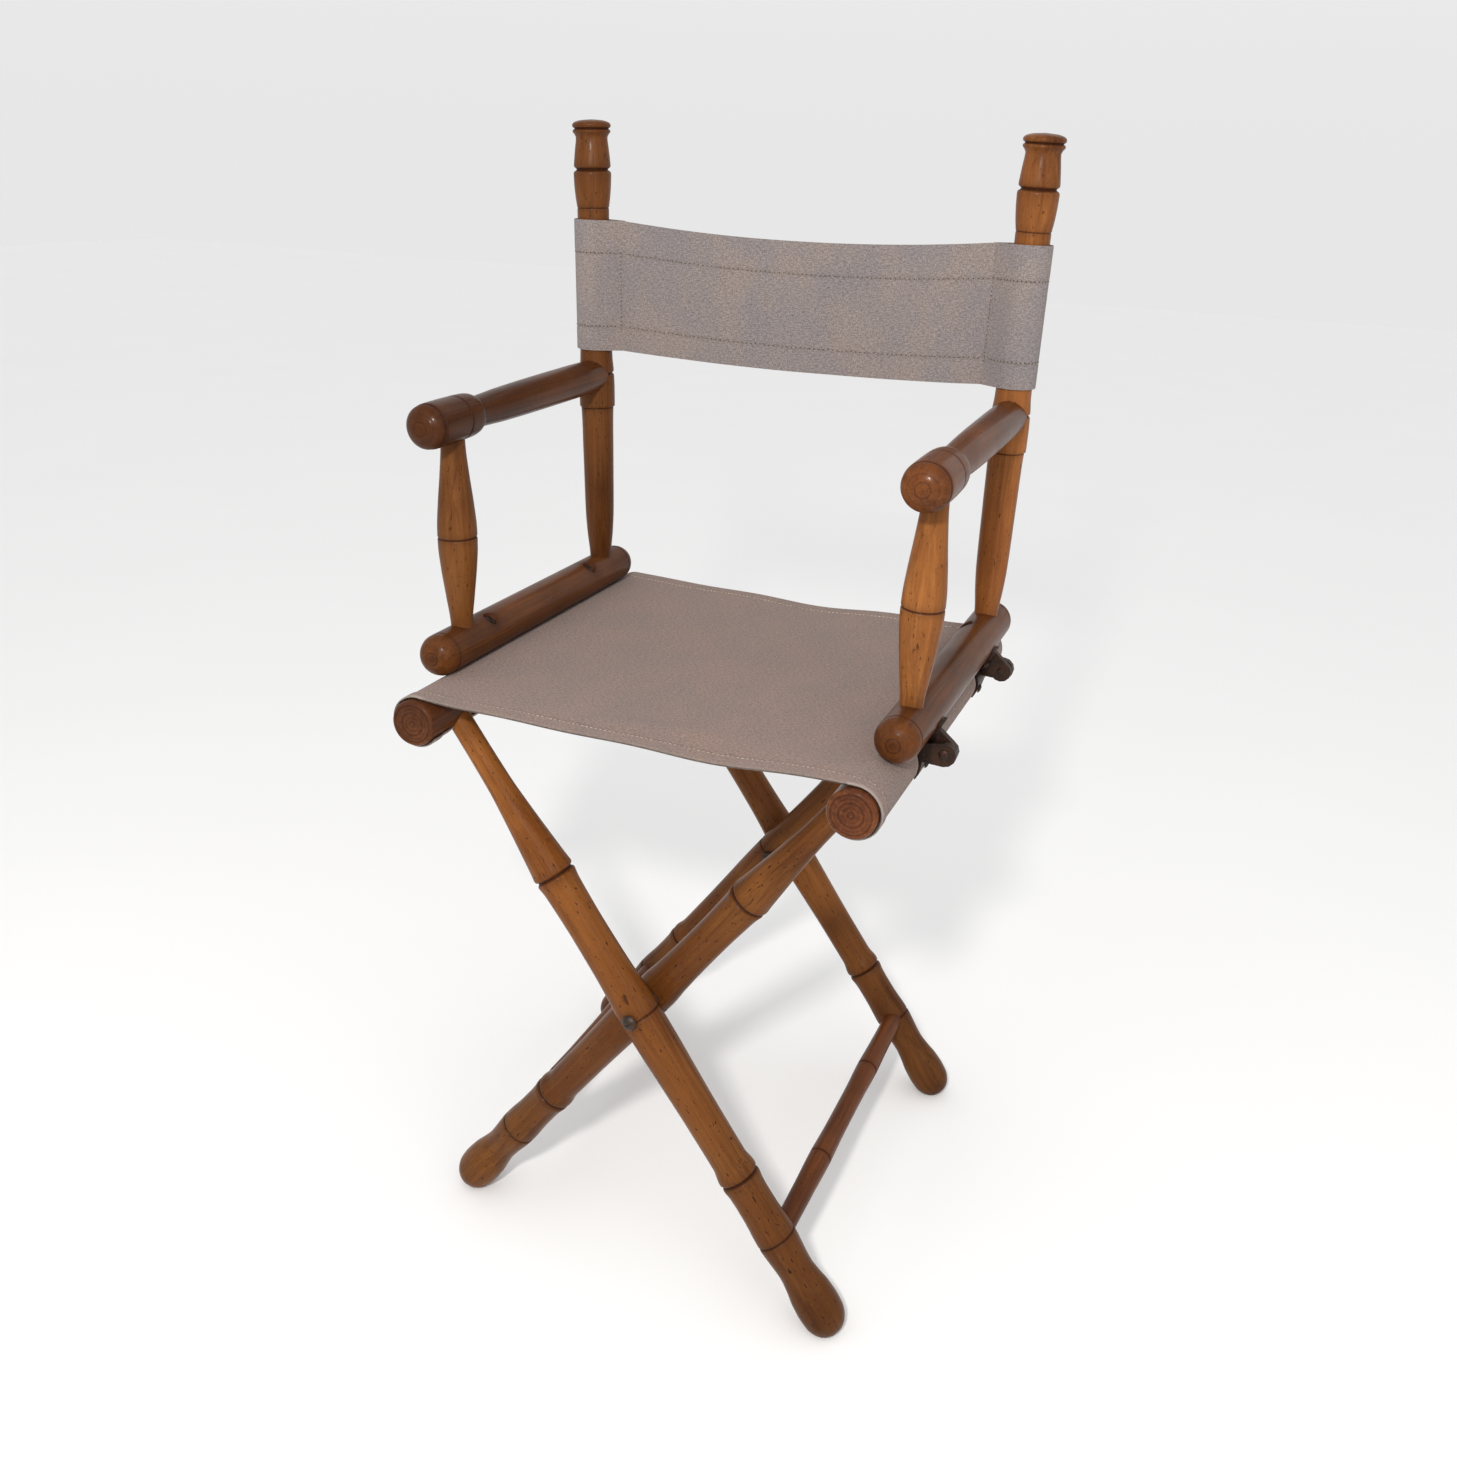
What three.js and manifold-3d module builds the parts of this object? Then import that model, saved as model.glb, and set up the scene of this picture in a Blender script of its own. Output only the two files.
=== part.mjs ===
// Folding director's chair in turned beech with ringed, bamboo-like legs and a linen seat and back.
// Millimetres, +Z up, front towards -Y, +X to the right seen from the front, the feet stand on z = 0.
import * as THREE from "three";
import { mergeVertices } from "three/addons/utils/BufferGeometryUtils.js";
import Module from "manifold-3d";

const wasm = await Module();
wasm.setup();

// ---- driving dimensions ----
const GAP = 0.3; // clearance between pieces that touch
const SEAT_RAIL = { x: 168, z: 456.8, r: 17.6, front: -197, rear: 190 };
const FOOT_Z = 20; // height at which the leg axis passes through the middle of the foot
const LEG_X = { outer: { top: 161.5, foot: 157.5 }, inner: { top: 164, foot: 159.94 } }; // at the rail and the foot
const LEG_Y = { outer: [-153, 176.5], inner: [-124, 147.5] }; // front and rear leg planes of the two frames
const LEG_TOP_R = 9; // radius of a leg where it enters its rail
const PIVOT = { bolt: 3, head: 6.2, flat: 13.4, washer: 10.6, seat: 16.5 };
const STRETCHER_AT = 476; // distance down the leg axis
const STRETCHER_OFF = 4; // the stretcher sits this far outside the leg's axis
const STRETCHER_END_R = 8.4;
const ARM_RAIL = { x: 180.5, z: 490.5, r: 16.4, front: -151, rear: 174 };
const SPINDLE = { y: -107.5, foot: 507, hole: 8.6 };
const POST = { y: 131, foot: 507, topX: 190.5, topY: 123.5, topZ: 878.6 };
const ARMREST = { x: 186, y: -150.5, z: 665.5, peg: 5.6, socket: 9.9 }; // front tip of the armrest's axis
const ARMREST_ON_POST = 165; // distance up the post axis
const POST_COLLAR_R = 15.8; // radius of the post where the armrest meets it
const HINGE = { x: 203.5, z: 467, y: 92.6, mid: 7.5, pin: 2.7, boss: 8.8, plate: 2.4 };
const CLOTH = 1.2; // canvas thickness
const SEAT_CLOTH = { front: -191.5, rear: 185, sag: 4 };
const BACK_CLOTH = { low: 695, high: 805, dipLow: 5, dipHigh: 14, bow: 5, sleeve: 16.4, stitch: 160 };

// ---- profiles: [distance along the axis, radius] ----
const LEG_PROFILE = [
  [7, 0], [7, LEG_TOP_R], [68.5, 9.7], [95, 11.4], [125, 14], [146.5, 15.9], [149.5, 14.4], [152.5, 15.6],
  [171, 14.5], [197, 14], [229, 14.3], [253.5, 15.2], [268.5, 16.4], [300, 16.2], [332.5, 15.3], [371, 14.5],
  [408, 14.3], [424, 15.8], [455.5, 14.8], [480, 16], [509, 14], [531, 17], [542, 17.6], [551, 17],
  [559, 14], [564, 9], [566, 0],
];
const POST_PROFILE = [
  [-14, 0], [-14, 9.4], [0, 9.7], [21, 11.7], [40, 12.8], [94, 13.6], [136, 14.4],
  [138, 15.7], [154, 15.7], [164, 15.2], [166.5, 13.5], [169, 15], [180, 14.3], [241, 13.4],
  [306, 13.6], [317, 14.9], [328.5, 15.8], [336.5, 16], [339, 13.9], [341.5, 15.6], [353.5, 14.6],
  [366, 13.4], [369.5, 16], [371, 15], [373, 15], [374.5, 16.4], [377, 14.5], [379.5, 0],
];
const SPINDLE_PROFILE = [
  [-12, 0], [-12, 8.3], [0, 8.5], [23, 11.1], [47.5, 14], [62, 15.1], [69.5, 15.2],
  [77, 15.1], [94, 13.8], [119, 11.1], [139, 9.4], [149, 9.1], [149, 0],
];
const ARMREST_PROFILE = [
  [0, 0], [0.4, 4.8], [2, 9.7], [4.5, 13.7], [7.5, 16.2], [11, 17.1], [30, 17.3], [57, 16.9],
  [64, 16.2], [69.5, 14.3], [73, 12], [110, 13.3], [160, 14.1], [228, 14.4], [276, 14],
];
const ARM_RAIL_PROFILE = [
  [0, 0], [0, 5], [1.3, 8.6], [3.6, 12.2], [6.8, 14.7], [11.6, 16.3], [310, 16.4], [316, 15.2],
  [321, 12.2], [324, 7.2], [325, 0],
];
const SEAT_RAIL_PROFILE = [
  [0, 0], [0, 15.1], [1.9, 17.6], [385.1, 17.6], [387, 15.1], [387, 0],
];

// ---- materials ----
const wood = (color) => new THREE.MeshStandardMaterial({ color, roughness: 0.38, metalness: 0 });
const iron = () => new THREE.MeshStandardMaterial({ color: 0x2c211b, roughness: 0.55, metalness: 0.8 });
const linen = () =>
  new THREE.MeshStandardMaterial({ color: 0xa39486, roughness: 0.95, metalness: 0, side: THREE.DoubleSide });

// ---- solids ----
function toSolid(geometry) {
  const g = geometry.clone();
  g.deleteAttribute("normal");
  g.deleteAttribute("uv");
  const merged = mergeVertices(g, 1e-4);
  const kept = [];
  const index = merged.index.array;
  for (let i = 0; i < index.length; i += 3) {
    const [a, b, c] = [index[i], index[i + 1], index[i + 2]];
    if (a !== b && b !== c && c !== a) kept.push(a, b, c);
  }
  const build = (triangles) =>
    new wasm.Manifold(
      new wasm.Mesh({
        numProp: 3,
        vertProperties: new Float32Array(merged.attributes.position.array),
        triVerts: new Uint32Array(triangles),
      }),
    );
  const solid = build(kept);
  if (solid.volume() > 0) return solid;
  for (let i = 0; i < kept.length; i += 3) [kept[i], kept[i + 1]] = [kept[i + 1], kept[i]];
  return build(kept);
}

function toGeometry(solid) {
  const m = solid.getMesh();
  const points = new Float32Array(m.numVert * 3);
  for (let i = 0; i < m.numVert; i++)
    points.set(m.vertProperties.subarray(i * m.numProp, i * m.numProp + 3), i * 3);
  const g = new THREE.BufferGeometry();
  g.setAttribute("position", new THREE.BufferAttribute(points, 3));
  g.setIndex(new THREE.BufferAttribute(m.triVerts, 1));
  g.computeVertexNormals();
  return g;
}

// join and cut take geometries in one frame and give one geometry back
const join = (first, ...rest) =>
  toGeometry(rest.reduce((s, g) => s.add(toSolid(g)), toSolid(first)));
const cut = (first, ...rest) =>
  toGeometry(rest.reduce((s, g) => s.subtract(toSolid(g)), toSolid(first)));

const V = (x, y, z) => new THREE.Vector3(x, y, z);
const Y_AXIS = V(0, 1, 0);

// the matrix that stands a shape made along +Y at a point, along a direction
function along(from, direction) {
  const turn = new THREE.Quaternion().setFromUnitVectors(Y_AXIS, direction.clone().normalize());
  return new THREE.Matrix4().compose(from, turn, V(1, 1, 1));
}
const lathe = (profile, segments) =>
  new THREE.LatheGeometry(profile.map(([s, r]) => new THREE.Vector2(r, s)), segments);

// a plain round bar between two points, used as a bore or a shank
function bar(from, to, radius, segments = 12) {
  const length = from.distanceTo(to);
  const profile = [[0, 0], [0, radius], [length, radius], [length, 0]];
  return lathe(profile, segments).applyMatrix4(along(from, to.clone().sub(from)));
}
function box(x0, x1, y0, y1, z0, z1) {
  return new THREE.BoxGeometry(x1 - x0, y1 - y0, z1 - z0).translate(
    (x0 + x1) / 2, (y0 + y1) / 2, (z0 + z1) / 2,
  );
}
// an outline in the x-z plane, extruded along y
function slab(points, y0, y1, holes = []) {
  const shape = new THREE.Shape(points.map(([x, z]) => new THREE.Vector2(x, z)));
  shape.holes = holes.map((h) => new THREE.Path(h.map(([x, z]) => new THREE.Vector2(x, z))));
  const g = new THREE.ExtrudeGeometry(shape, { depth: y1 - y0, bevelEnabled: false, steps: 1 });
  return g.rotateX(Math.PI / 2).translate(0, y1, 0);
}
const arc = (cx, cz, r, from, to, n) =>
  Array.from({ length: n + 1 }, (_, i) => {
    const a = THREE.MathUtils.degToRad(from + ((to - from) * i) / n);
    return [cx + r * Math.cos(a), cz + r * Math.sin(a)];
  });

const chair = new THREE.Group();
function addMesh(name, geometry, material, matrix = new THREE.Matrix4()) {
  const mesh = new THREE.Mesh(geometry, material);
  mesh.name = name;
  matrix.decompose(mesh.position, mesh.quaternion, mesh.scale);
  chair.add(mesh);
  return mesh;
}
// a turned piece: profile revolved about its axis, with cutters and joiners given in the chair's frame
function turned(name, profile, from, direction, color, segments, cutters = [], joiners = []) {
  const place = along(from, direction);
  const back = place.clone().invert();
  let g = lathe(profile, segments);
  if (joiners.length) g = join(g, ...joiners.map((c) => c.clone().applyMatrix4(back)));
  if (cutters.length) g = cut(g, ...cutters.map((c) => c.clone().applyMatrix4(back)));
  else g = toGeometry(toSolid(g));
  return addMesh(name, g, wood(color), place);
}

// ---- leg frames ----
// side is the side of the feet: +1 for the outer frame, -1 for the inner one; its rail is on the other side
const legX = (side) => LEG_X[side > 0 ? "outer" : "inner"];
const legTop = (side, y) => V(-side * legX(side).top, y, SEAT_RAIL.z);
const legDirection = (side) =>
  V(side * (legX(side).top + legX(side).foot), 0, FOOT_Z - SEAT_RAIL.z).normalize();
const onLeg = (side, y, s) => legTop(side, y).addScaledVector(legDirection(side), s);
const PIVOT_Z =
  SEAT_RAIL.z - ((SEAT_RAIL.z - FOOT_Z) * LEG_X.outer.top) / (LEG_X.outer.top + LEG_X.outer.foot);

function legSocket(side, y) {
  return bar(onLeg(side, y, 7 - GAP), onLeg(side, y, 30), LEG_TOP_R + GAP, 14);
}
function addLegFrame(label, side) {
  const [front, rear] = LEG_Y[label];
  const inward = { front: 1, rear: -1 };
  const s = STRETCHER_AT;
  const off = V(side * STRETCHER_OFF, 0, 0);
  const ends = { front: onLeg(side, front + 7, s).add(off), rear: onLeg(side, rear - 7, s).add(off) };
  for (const [where, y] of [["front", front], ["rear", rear]]) {
    const mating = label === "outer" ? inward[where] : -inward[where]; // the face towards the other frame
    const face = y + mating * PIVOT.flat;
    const flat = mating > 0 ? box(-30, 30, face, face + 9, PIVOT_Z - 40, PIVOT_Z + 40)
      : box(-30, 30, face - 9, face, PIVOT_Z - 40, PIVOT_Z + 40);
    const bore = bar(V(0, y - 30, PIVOT_Z), V(0, y + 30, PIVOT_Z), PIVOT.bolt + GAP);
    const end = ends[where];
    const socketEnd = end.clone().add(V(0, -inward[where] * GAP, 0));
    const socket = bar(socketEnd, socketEnd.clone().add(V(0, inward[where] * 30, 0)), STRETCHER_END_R + GAP);
    const floor = box(side * 160 - 60, side * 160 + 60, y - 40, y + 40, -40, 0);
    turned(`leg_${label}_${where}`, LEG_PROFILE, legTop(side, y), legDirection(side), 0x7c4419, 12,
      [flat, bore, socket, floor]);
  }
  const length = rear - front - 14;
  const ring = (at) => [[at - 1.2, 9.5], [at, 8.9], [at + 1.2, 9.5]];
  const profile = [[0, 0], [0, STRETCHER_END_R], [length * 0.16, 8.7], ...ring(length / 2 - 67),
    [length / 2, 8.6], ...ring(length / 2 + 67), [length * 0.84, 8.7], [length, STRETCHER_END_R], [length, 0]];
  turned(`stretcher_${label}`, profile, ends.front, Y_AXIS, 0x6d3a16, 12);
}

// ---- hinges between arm rail and seat rail ----
const HINGE_Y = { front: [HINGE.mid - HINGE.y, -1], rear: [HINGE.mid + HINGE.y, 1] }; // centre and outward sense
const LEAF_SCREW = { angle: -15, out: -7 };
const LEAF_BOLT = { angle: -58, out: -7 };
const mirrorX = (side, points) => points.map(([x, z]) => [side * x, z]);
const span = (y, out, a, b) => [y + out * a, y + out * b].sort((p, q) => p - q);
const spoke = (side, cx, cz, angle, r, y) => {
  const a = THREE.MathUtils.degToRad(angle);
  return V(side * (cx + r * Math.cos(a)), y, cz + r * Math.sin(a));
};

function hullOf(points) {
  const p = [...points].sort((a, b) => a[0] - b[0] || a[1] - b[1]);
  const turn = (o, a, b) => (a[0] - o[0]) * (b[1] - o[1]) - (a[1] - o[1]) * (b[0] - o[0]);
  const chain = (list) => {
    const c = [];
    for (const q of list) {
      while (c.length > 1 && turn(c[c.length - 2], c[c.length - 1], q) <= 0) c.pop();
      c.push(q);
    }
    return c.slice(0, -1);
  };
  return [...chain(p), ...chain(p.reverse())];
}

function sector(side, cx, cz, r0, r1, a0, a1, y0, y1) {
  return slab(mirrorX(side, [...arc(cx, cz, r0, a0, a1, 5), ...arc(cx, cz, r1, a1, a0, 5)]), y0, y1);
}
function addHinge(side, where) {
  const [y, out] = HINGE_Y[where];
  const tag = `${where}_${side > 0 ? "right" : "left"}`;
  const { x, z, pin, boss } = HINGE;
  const ring = arc(x, z, boss, 0, 330, 11);
  const bore = bar(V(side * x, y - 40, z), V(side * x, y + 40, z), pin + GAP, 10);
  const seatSkin = SEAT_RAIL.r + GAP + 0.1;
  const armSkin = ARM_RAIL.r + GAP + 0.1;

  const onRail = (dx, dz) => [SEAT_RAIL.x + dx, SEAT_RAIL.z + dz];
  const lug = hullOf([onRail(17.9, 2.4), onRail(18, 13.4), onRail(21.5, 16.7), ...ring]);
  const screwHole = bar(spoke(side, SEAT_RAIL.x, SEAT_RAIL.z, LEAF_SCREW.angle, 4, y + out * LEAF_SCREW.out),
    spoke(side, SEAT_RAIL.x, SEAT_RAIL.z, LEAF_SCREW.angle, 40, y + out * LEAF_SCREW.out), 2.2 + GAP, 8);
  const seatLeaf = cut(
    join(sector(side, SEAT_RAIL.x, SEAT_RAIL.z, seatSkin - 0.1, seatSkin + HINGE.plate, -36, 30, ...span(y, out, -14, 10)),
      slab(mirrorX(side, lug), ...span(y, out, 4, 10))),
    bore, screwHole, bar(V(side * SEAT_RAIL.x, -300, SEAT_RAIL.z), V(side * SEAT_RAIL.x, 300, SEAT_RAIL.z), seatSkin, 30));
  addMesh(`hinge_seat_leaf_${tag}`, seatLeaf, iron());

  const ear = hullOf([...arc(ARM_RAIL.x, ARM_RAIL.z, armSkin + 2, -70, -24, 6), ...arc(x, z, boss - 0.4, 0, 330, 11)]);
  const boltHole = bar(spoke(side, ARM_RAIL.x, ARM_RAIL.z, LEAF_BOLT.angle, -40, y + out * LEAF_BOLT.out),
    spoke(side, ARM_RAIL.x, ARM_RAIL.z, LEAF_BOLT.angle, 40, y + out * LEAF_BOLT.out), 2.6 + GAP, 10);
  const armLeaf = cut(
    join(sector(side, ARM_RAIL.x, ARM_RAIL.z, armSkin - 0.1, armSkin + HINGE.plate, -80, -12, ...span(y, out, -13, 3.5)),
      slab(mirrorX(side, ear), ...span(y, out, -2.5, 3.5))),
    bore, boltHole, bar(V(side * ARM_RAIL.x, -300, ARM_RAIL.z), V(side * ARM_RAIL.x, 300, ARM_RAIL.z), armSkin, 30));
  addMesh(`hinge_arm_leaf_${tag}`, armLeaf, iron());

  const pinProfile = [[0, 0], [0, 4.1], [1.4, 4.1], [1.4, pin], [15, pin], [15, 0]];
  addMesh(`hinge_pin_${tag}`, toGeometry(toSolid(lathe(pinProfile, 10))), iron(),
    along(V(side * x, y + out * 11.8, z), V(0, -out, 0)));

  const screwProfile = [[0, 0], [0.6, 2.6], [1.9, 4.2], [1.9, 2.2], [15, 2.2], [15, 0]];
  const screwAt = spoke(side, SEAT_RAIL.x, SEAT_RAIL.z, LEAF_SCREW.angle, seatSkin + HINGE.plate + 2.2, y + out * LEAF_SCREW.out);
  const screwIn = V(side * SEAT_RAIL.x, y + out * LEAF_SCREW.out, SEAT_RAIL.z).sub(screwAt);
  addMesh(`hinge_screw_${tag}`, toGeometry(toSolid(lathe(screwProfile, 8))), iron(), along(screwAt, screwIn));

  const boltLength = 2 * armSkin + HINGE.plate + 2.2;
  const boltProfile = [[0, 0], [0, 3.4], [1.2, 5], [2.4, 5], [2.4, 2.6], [boltLength, 2.6], [boltLength, 0]];
  const boltAt = spoke(side, ARM_RAIL.x, ARM_RAIL.z, LEAF_BOLT.angle, 1 - ARM_RAIL.r, y + out * LEAF_BOLT.out);
  const boltIn = V(side * ARM_RAIL.x, y + out * LEAF_BOLT.out, ARM_RAIL.z).sub(boltAt);
  addMesh(`hinge_bolt_${tag}`, toGeometry(toSolid(lathe(boltProfile, 10))), iron(), along(boltAt, boltIn));
  const nutAt = spoke(side, ARM_RAIL.x, ARM_RAIL.z, LEAF_BOLT.angle, armSkin + HINGE.plate + GAP, y + out * LEAF_BOLT.out);
  const nut = cut(lathe([[0, 0], [0, 4.6], [2.6, 4.6], [2.6, 0]], 6), bar(V(0, -1, 0), V(0, 9, 0), 2.6 + GAP, 10));
  addMesh(`hinge_nut_${tag}`, nut, iron(), along(nutAt, boltIn));
}
// what the hinges need cut out of the rails
const hingeCuts = (side) =>
  Object.values(HINGE_Y).map(([y, out]) => {
    const screwY = y + out * LEAF_SCREW.out;
    const boltY = y + out * LEAF_BOLT.out;
    const seatAt = (r) => spoke(side, SEAT_RAIL.x, SEAT_RAIL.z, LEAF_SCREW.angle, r, screwY);
    const armAt = (r) => spoke(side, ARM_RAIL.x, ARM_RAIL.z, LEAF_BOLT.angle, r, boltY);
    return {
      seat: bar(seatAt(5), seatAt(40), 2.2 + GAP, 8),
      arm: [bar(armAt(-40), armAt(40), 2.6 + GAP, 10), bar(armAt(-40), armAt(3.8 - ARM_RAIL.r), 5 + GAP, 12)],
    };
  });

function addSeatRail(side) {
  const legs = side < 0 ? "outer" : "inner"; // the outer legs carry the left rail
  const sockets = LEG_Y[legs].map((y) => legSocket(-side, y));
  turned(`seat_rail_${side > 0 ? "right" : "left"}`, SEAT_RAIL_PROFILE, V(side * SEAT_RAIL.x, SEAT_RAIL.front, SEAT_RAIL.z),
    Y_AXIS, 0x5f2c14, 20, [...sockets, ...hingeCuts(side).map((h) => h.seat)]);
}

// ---- arm frames ----
const postFoot = (side) => V(side * ARM_RAIL.x, POST.y, POST.foot);
const postUp = (side) => V(side * POST.topX, POST.topY, POST.topZ).sub(postFoot(side)).normalize();
const onPost = (side, s) => postFoot(side).addScaledVector(postUp(side), s);
const armTip = (side) => V(side * ARMREST.x, ARMREST.y, ARMREST.z);
function spindleLine(side) {
  const foot = V(side * ARM_RAIL.x, SPINDLE.y, SPINDLE.foot);
  const reach = (SPINDLE.y - ARMREST.y) / (POST.y - ARMREST.y);
  const top = armTip(side).lerp(onPost(side, ARMREST_ON_POST), reach);
  return { foot, up: top.clone().sub(foot).normalize() };
}
function addArmFrame(side) {
  const label = side > 0 ? "right" : "left";
  const spindle = spindleLine(side);
  const tip = armTip(side);
  const joint = onPost(side, ARMREST_ON_POST);
  const armDirection = joint.clone().sub(tip).normalize();
  const peg = joint.clone().addScaledVector(armDirection, -5);
  const spindleFoot = spindle.foot.clone().addScaledVector(spindle.up, -12 - GAP);
  const postStart = onPost(side, -14 - GAP);

  turned(`arm_rail_${label}`, ARM_RAIL_PROFILE, V(side * ARM_RAIL.x, ARM_RAIL.front, ARM_RAIL.z), Y_AXIS, 0x5a2d16, 18,
    [bar(spindleFoot, spindle.foot.clone().addScaledVector(spindle.up, 8), SPINDLE.hole + GAP, 14),
      bar(postStart, onPost(side, 8), 9.9 + GAP, 14), ...hingeCuts(side).flatMap((h) => h.arm)]);
  turned(`front_spindle_${label}`, SPINDLE_PROFILE, spindle.foot, spindle.up, 0x7d4519, 14);
  turned(`back_post_${label}`, POST_PROFILE, postFoot(side), postUp(side), 0x6e3d18, 14,
    [bar(peg.clone().addScaledVector(armDirection, 2 * GAP), joint.clone().addScaledVector(armDirection, -40), ARMREST.peg + GAP)]);

  const armLength = ARMREST_PROFILE[ARMREST_PROFILE.length - 1][0];
  const armEnd = tip.clone().addScaledVector(armDirection, armLength);
  const closed = [...ARMREST_PROFILE, [armLength, 0]];
  const place = along(tip, armDirection);
  const back = place.clone().invert();
  const local = (g) => g.applyMatrix4(back);
  const postSkin = bar(onPost(side, 90), onPost(side, 240), POST_COLLAR_R + GAP, 18);
  const socket = bar(spindle.foot.clone().addScaledVector(spindle.up, 100),
    spindle.foot.clone().addScaledVector(spindle.up, 149 + GAP), ARMREST.socket, 14);
  const coped = cut(lathe(closed, 16), local(postSkin), local(socket));
  const pegBar = bar(armEnd.clone().addScaledVector(armDirection, -30), peg, ARMREST.peg);
  addMesh(`armrest_${label}`, join(coped, local(pegBar)), wood(0x5c3017), place);
}

// ---- pivots: a bolt, a washer between the two legs and a nut, front and rear ----
function addPivot(where) {
  const i = where === "front" ? 0 : 1;
  const out = i ? 1 : -1;
  const [outer, inner] = [LEG_Y.outer[i], LEG_Y.inner[i]];
  const headAt = outer + out * PIVOT.seat;
  const length = Math.abs(headAt - inner) + PIVOT.seat + 8;
  const profile = [[-3.6, 0], [-3.4, 3], [-2.2, 5.3], [0, PIVOT.head], [0, PIVOT.bolt], [length, PIVOT.bolt], [length, 0]];
  addMesh(`pivot_bolt_${where}`, toGeometry(toSolid(lathe(profile, 12))), iron(),
    along(V(0, headAt + out * GAP, PIVOT_Z), V(0, -out, 0)));
  const gapMid = (outer + inner) / 2;
  const thick = Math.abs(outer - inner) - 2 * PIVOT.flat - 2 * GAP;
  const ringAt = (y, r, t, n) =>
    cut(bar(V(0, y - t / 2, PIVOT_Z), V(0, y + t / 2, PIVOT_Z), r, n),
      bar(V(0, y - 20, PIVOT_Z), V(0, y + 20, PIVOT_Z), PIVOT.bolt + GAP, 12));
  addMesh(`pivot_washer_${where}`, ringAt(gapMid, PIVOT.washer, thick, 14), iron());
  addMesh(`pivot_nut_${where}`, ringAt(inner - out * (PIVOT.seat + GAP + 2.5), 6, 5, 6), iron());
}

// ---- canvas seat ----
function addSeatCloth() {
  const r0 = SEAT_RAIL.r + GAP;
  const r1 = r0 + CLOTH;
  const { x, z } = SEAT_RAIL;
  const dip = (t, top) => [x * (2 * t - 1), top - SEAT_CLOTH.sag * Math.min(1, 6 * t * (1 - t))];
  const flat = Array.from({ length: 5 }, (_, i) => (i + 1) / 6);
  // outside of the band from under the left rail to under the right one, then back along its inside
  const outside = [...arc(-x, z, r1, -35, -270, 12), ...flat.map((t) => dip(t, z + r1)), ...arc(x, z, r1, 90, -145, 12)];
  const inside = [...arc(x, z, r0, -145, 90, 12), ...flat.map((t) => dip(1 - t, z + r0)), ...arc(-x, z, r0, -270, -35, 12)];
  const band = slab([...outside, ...inside], SEAT_CLOTH.front, SEAT_CLOTH.rear);
  const holes = [];
  for (const side of [-1, 1]) {
    const legs = side < 0 ? "outer" : "inner";
    for (const y of LEG_Y[legs]) holes.push(bar(onLeg(-side, y, 12), onLeg(-side, y, 34), LEG_TOP_R + 2, 12));
    for (const [y, out] of Object.values(HINGE_Y))
      holes.push(slab(mirrorX(side, [[x + 7.6, z - 16.4], [x + 60, z - 16.4], [x + 60, z + 12], [x + 11.4, z + 12]]),
        ...span(y, out, -17, 13)));
  }
  addMesh("seat_canvas", cut(band, ...holes), linen());
}

// ---- canvas back: a panel whose ends are sleeves round the posts ----
function addBackCloth() {
  const { low, high, dipLow, dipHigh, bow, sleeve, stitch } = BACK_CLOTH;
  const lowX = onPost(1, (low - POST.foot) / postUp(1).z).x;
  const inner = sleeve - CLOTH;
  const half = 1.2;
  const tall = high - low;
  const ring = (r, from, to) => arc(lowX, 0, r, from, to, 12);
  const hang = (g) => {
    const p = g.attributes.position;
    for (let i = 0; i < p.count; i++) {
      const [x, y, h] = [p.getX(i), p.getY(i), p.getZ(i)];
      const axis = onPost(1, (low + h - POST.foot) / postUp(1).z);
      const middle = Math.max(0, 1 - (x / stitch) ** 2);
      const dip = THREE.MathUtils.lerp(dipLow, dipHigh, h / tall);
      p.setXYZ(i, x * (axis.x / lowX), axis.y + y + bow * middle, low + h - dip * middle);
    }
    return g;
  };
  const sleeves = [1, -1].map((sign) => {
    const path = (points) => points.map(([x, y]) => new THREE.Vector2(sign * x, sign * y));
    const shape = new THREE.Shape(path([...ring(sleeve, -138, 138), [stitch, half], [stitch, -half]]));
    shape.holes = [new THREE.Path(path([...ring(inner, -147, 147), [stitch + 4, 0]]))];
    return hang(new THREE.ExtrudeGeometry(shape, { depth: tall, bevelEnabled: false, steps: 1 }));
  });
  const panel = new THREE.BoxGeometry(2 * stitch + 2, 2 * half, tall, 10, 1, 2).translate(0, 0, tall / 2);
  addMesh("back_canvas", join(hang(panel), ...sleeves), linen());
}

for (const side of [-1, 1]) addSeatRail(side);
addLegFrame("outer", 1);
addLegFrame("inner", -1);
for (const side of [-1, 1]) {
  addArmFrame(side);
  addHinge(side, "front");
  addHinge(side, "rear");
}
addPivot("front");
addPivot("rear");
addSeatCloth();
addBackCloth();

export default chair;
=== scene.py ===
"""Folding director's chair: turned wood in a bamboo-like style with a linen seat and back.

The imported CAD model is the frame. Lengths are in millimetres, as in the part, and MM turns them into metres.
"""
import math

import bpy
import numpy as np
from mathutils import Matrix, Vector


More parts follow.
